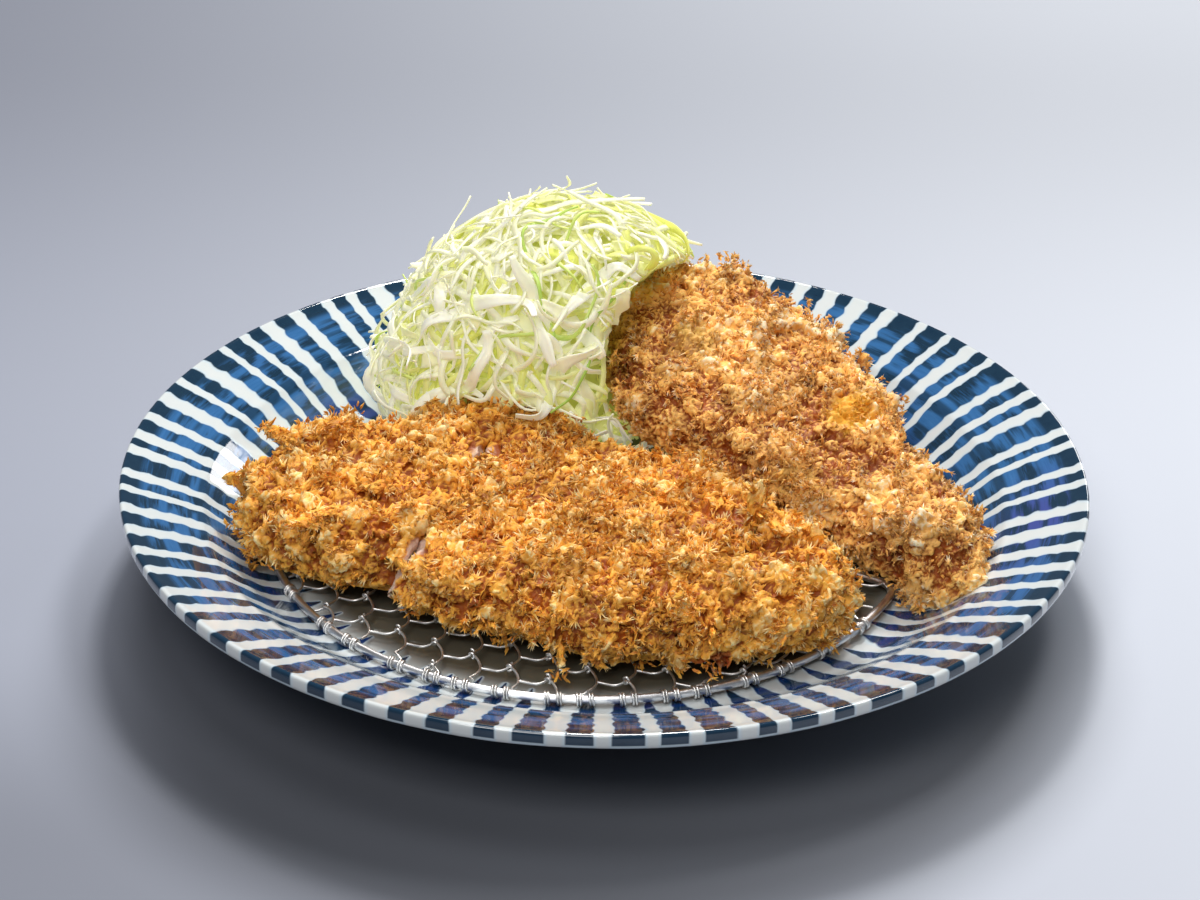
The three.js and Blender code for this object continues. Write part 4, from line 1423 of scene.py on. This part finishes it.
def ribbon_piece(name, shreds, columns, ruffle, rng):
    """Thin strips along lines, joined in one mesh. A shred is (line, ups, width, tone, depth)."""
    parts, start = [], 0
    for line, up, width, tone, depth in shreds:
        steps = len(line)
        along = units(np.gradient(line, axis=0), 1e-9)
        side = units(np.cross(up, along), 1e-9)
        face = np.cross(along, side)
        t = np.linspace(0, 1, steps)
        twist = rng.normal(0, 0.35) + rng.normal(0, 0.5) * t
        twist = twist + 0.35 * np.sin(rng.uniform(3, 8) * t + 6 * rng.random())
        turned = side * np.cos(twist)[:, None] + face * np.sin(twist)[:, None]
        face = face * np.cos(twist)[:, None] - side * np.sin(twist)[:, None]
        shape = width * (0.25 + 0.75 * np.sin(np.pi * np.clip(t * 0.92 + 0.04, 0, 1)) ** 0.6)
        shape = shape * (1 + 0.2 * np.sin(rng.uniform(5, 13) * t + 6 * rng.random()))
        across = np.linspace(-0.5, 0.5, columns)
        wave = np.sin(rng.uniform(5, 10) * t[:, None] + 6 * rng.random() + 2.2 * across[None])
        lift = ruffle * width * wave * np.abs(across[None]) + 0.25 * width * (across[None] ** 2 - 0.1)
        grid = (
            line[:, None]
            + turned[:, None] * (across[None, :, None] * shape[:, None, None])
            + face[:, None] * lift[..., None]
        )
        k, j = np.meshgrid(np.arange(steps - 1), np.arange(columns - 1), indexing="ij")
        corner = (start + k * columns + j).reshape(-1)
        faces = np.stack([corner, corner + columns, corner + columns + 1, corner + 1], 1)
        count = steps * columns
        parts.append((grid.reshape(-1, 3), faces, np.full(count, tone), np.full(count, depth)))
        start += count
    points, faces, tones, shade_depths = (np.concatenate(part) for part in zip(*parts))
    piece = mesh_piece(name, points, faces)
    set_attribute(piece.data, "tone", tones)
    set_attribute(piece.data, "depth", shade_depths)
    apply_modifier(piece, "SOLIDIFY", thickness=SHRED_THICKNESS * MM, offset=0)
    return piece


def make_cabbage(cutlets):
    pale = leaf_material("pale_cabbage", tint(240, 238, 218), tint(230, 228, 160), tint(214, 218, 106))
    green = leaf_material("green_cabbage", tint(212, 224, 130), tint(140, 180, 64), tint(160, 190, 70))
    # Painted shade: the heap's inside is painted a darker green than the shreds over it.
    inside = leaf_material("inner_cabbage_shade", tint(220, 224, 128), tint(206, 212, 98), tint(150, 158, 46))
    core, heap = make_cabbage_core(inside)
    nodes = frame["nodes"]
    cutlet_tree = tree_of(*[nodes[name] for name in cutlets])
    neighbours = tree_of(*[nodes[name] for name in (*cutlets, "plate", "rack_frame")])
    trees = heap, neighbours, tree_of(nodes["rear_cutlet"])
    rng = np.random.default_rng(77)
    triangles, points, normals = triangles_of(core.data), points_of(core.data), normals_of(core.data)
    middle, facing = points[triangles].mean(1), normals[triangles].mean(1)
    *_, weight = corners_of(points, triangles)
    weight *= (facing[:, 2] > -0.5) & (middle[:, 2] > 15)
    room = np.array([cutlet_tree.find_nearest(p)[3] for p in middle.tolist()])
    weight *= np.clip((room - 2) / 4, 0, 1)

    def shreds(name, count, material, lengths, widths, heights, curl, tone, depth,
               flare=0.0, columns=2, ruffle=0.0, steps=20):
        """Shreds that start at random places on the heap, as one piece."""
        grown = []
        for i in rng.choice(len(middle), count, p=weight / weight.sum()):
            normal = unit(facing[i])
            height, length = rng.uniform(*heights), rng.uniform(*lengths)
            fall = np.array([normal[0], normal[1], -0.6]) * 0.7
            heading = unit(np.cross(normal, rng.normal(size=3) + np.cross(fall, normal)))
            flares = flare * rng.random(2) ** 2
            shape = height, HEAP_TOP + rng.uniform(-7, 3), curl
            start = middle[i] + normal * height
            line, ups = grow_shred(start, heading, length, steps, flares, shape, trees, rng)
            if len(line) > FEWEST_POINTS:
                grown.append((line, ups, rng.uniform(*widths), rng.uniform(*tone), rng.uniform(*depth)))
        finish_piece(ribbon_piece(name, grown, columns, ruffle, rng), material, "leaf")

    # Painted shade: inner shreds are painted a deeper green by their depth than the outer ones.
    shreds("cabbage_shreds_inner", 360, pale, (24, 54), (1.3, 3.4), (-0.8, 1.8), 0.09, tone=(0.2, 1.0),
           depth=(0.3, 1.0), steps=22)
    shreds("cabbage_leaves", 60, pale, (18, 40), (3.6, 8.0), (0.2, 2.8), 0.05, tone=(0.0, 0.5),
           depth=(0.1, 0.7), flare=3, columns=6, ruffle=0.2)
    shreds("cabbage_shreds_outer", 290, pale, (30, 74), (0.9, 2.2), (0.8, 4.0), 0.13, tone=(0.0, 0.5),
           depth=(0.0, 0.25), flare=9, steps=30)
    shreds("cabbage_threads_green", 24, green, (34, 70), (0.7, 1.3), (2.0, 4.2), 0.12, tone=(0.1, 0.8),
           depth=(0.0, 0.3), flare=8, steps=28)
    shreds("cabbage_ribbons", 36, pale, (34, 70), (2.2, 4.6), (2.4, 4.6), 0.11, tone=(0.0, 0.15),
           depth=(0.0, 0.08), flare=9, columns=4, ruffle=0.14, steps=30)


# ---------------------------------------------------------------- the whole scene

def add_floor():
    bpy.ops.object.select_all(action="DESELECT")
    bpy.ops.mesh.primitive_grid_add(x_subdivisions=8, y_subdivisions=8, size=6)
    floor = active("floor")
    floor.data.materials.append(floor_material())


add_camera()
add_floor()
add_lights()
make_plate()
make_rack(steel_group())
fried = fried_group()
crumbs = crumb_kinds()
make_front_cutlet(fried, crumbs)
make_rear_cutlet(fried, crumbs)
make_cabbage([*[f"cutlet_slice_{i + 1}" for i in range(SLICES)], "rear_cutlet"])
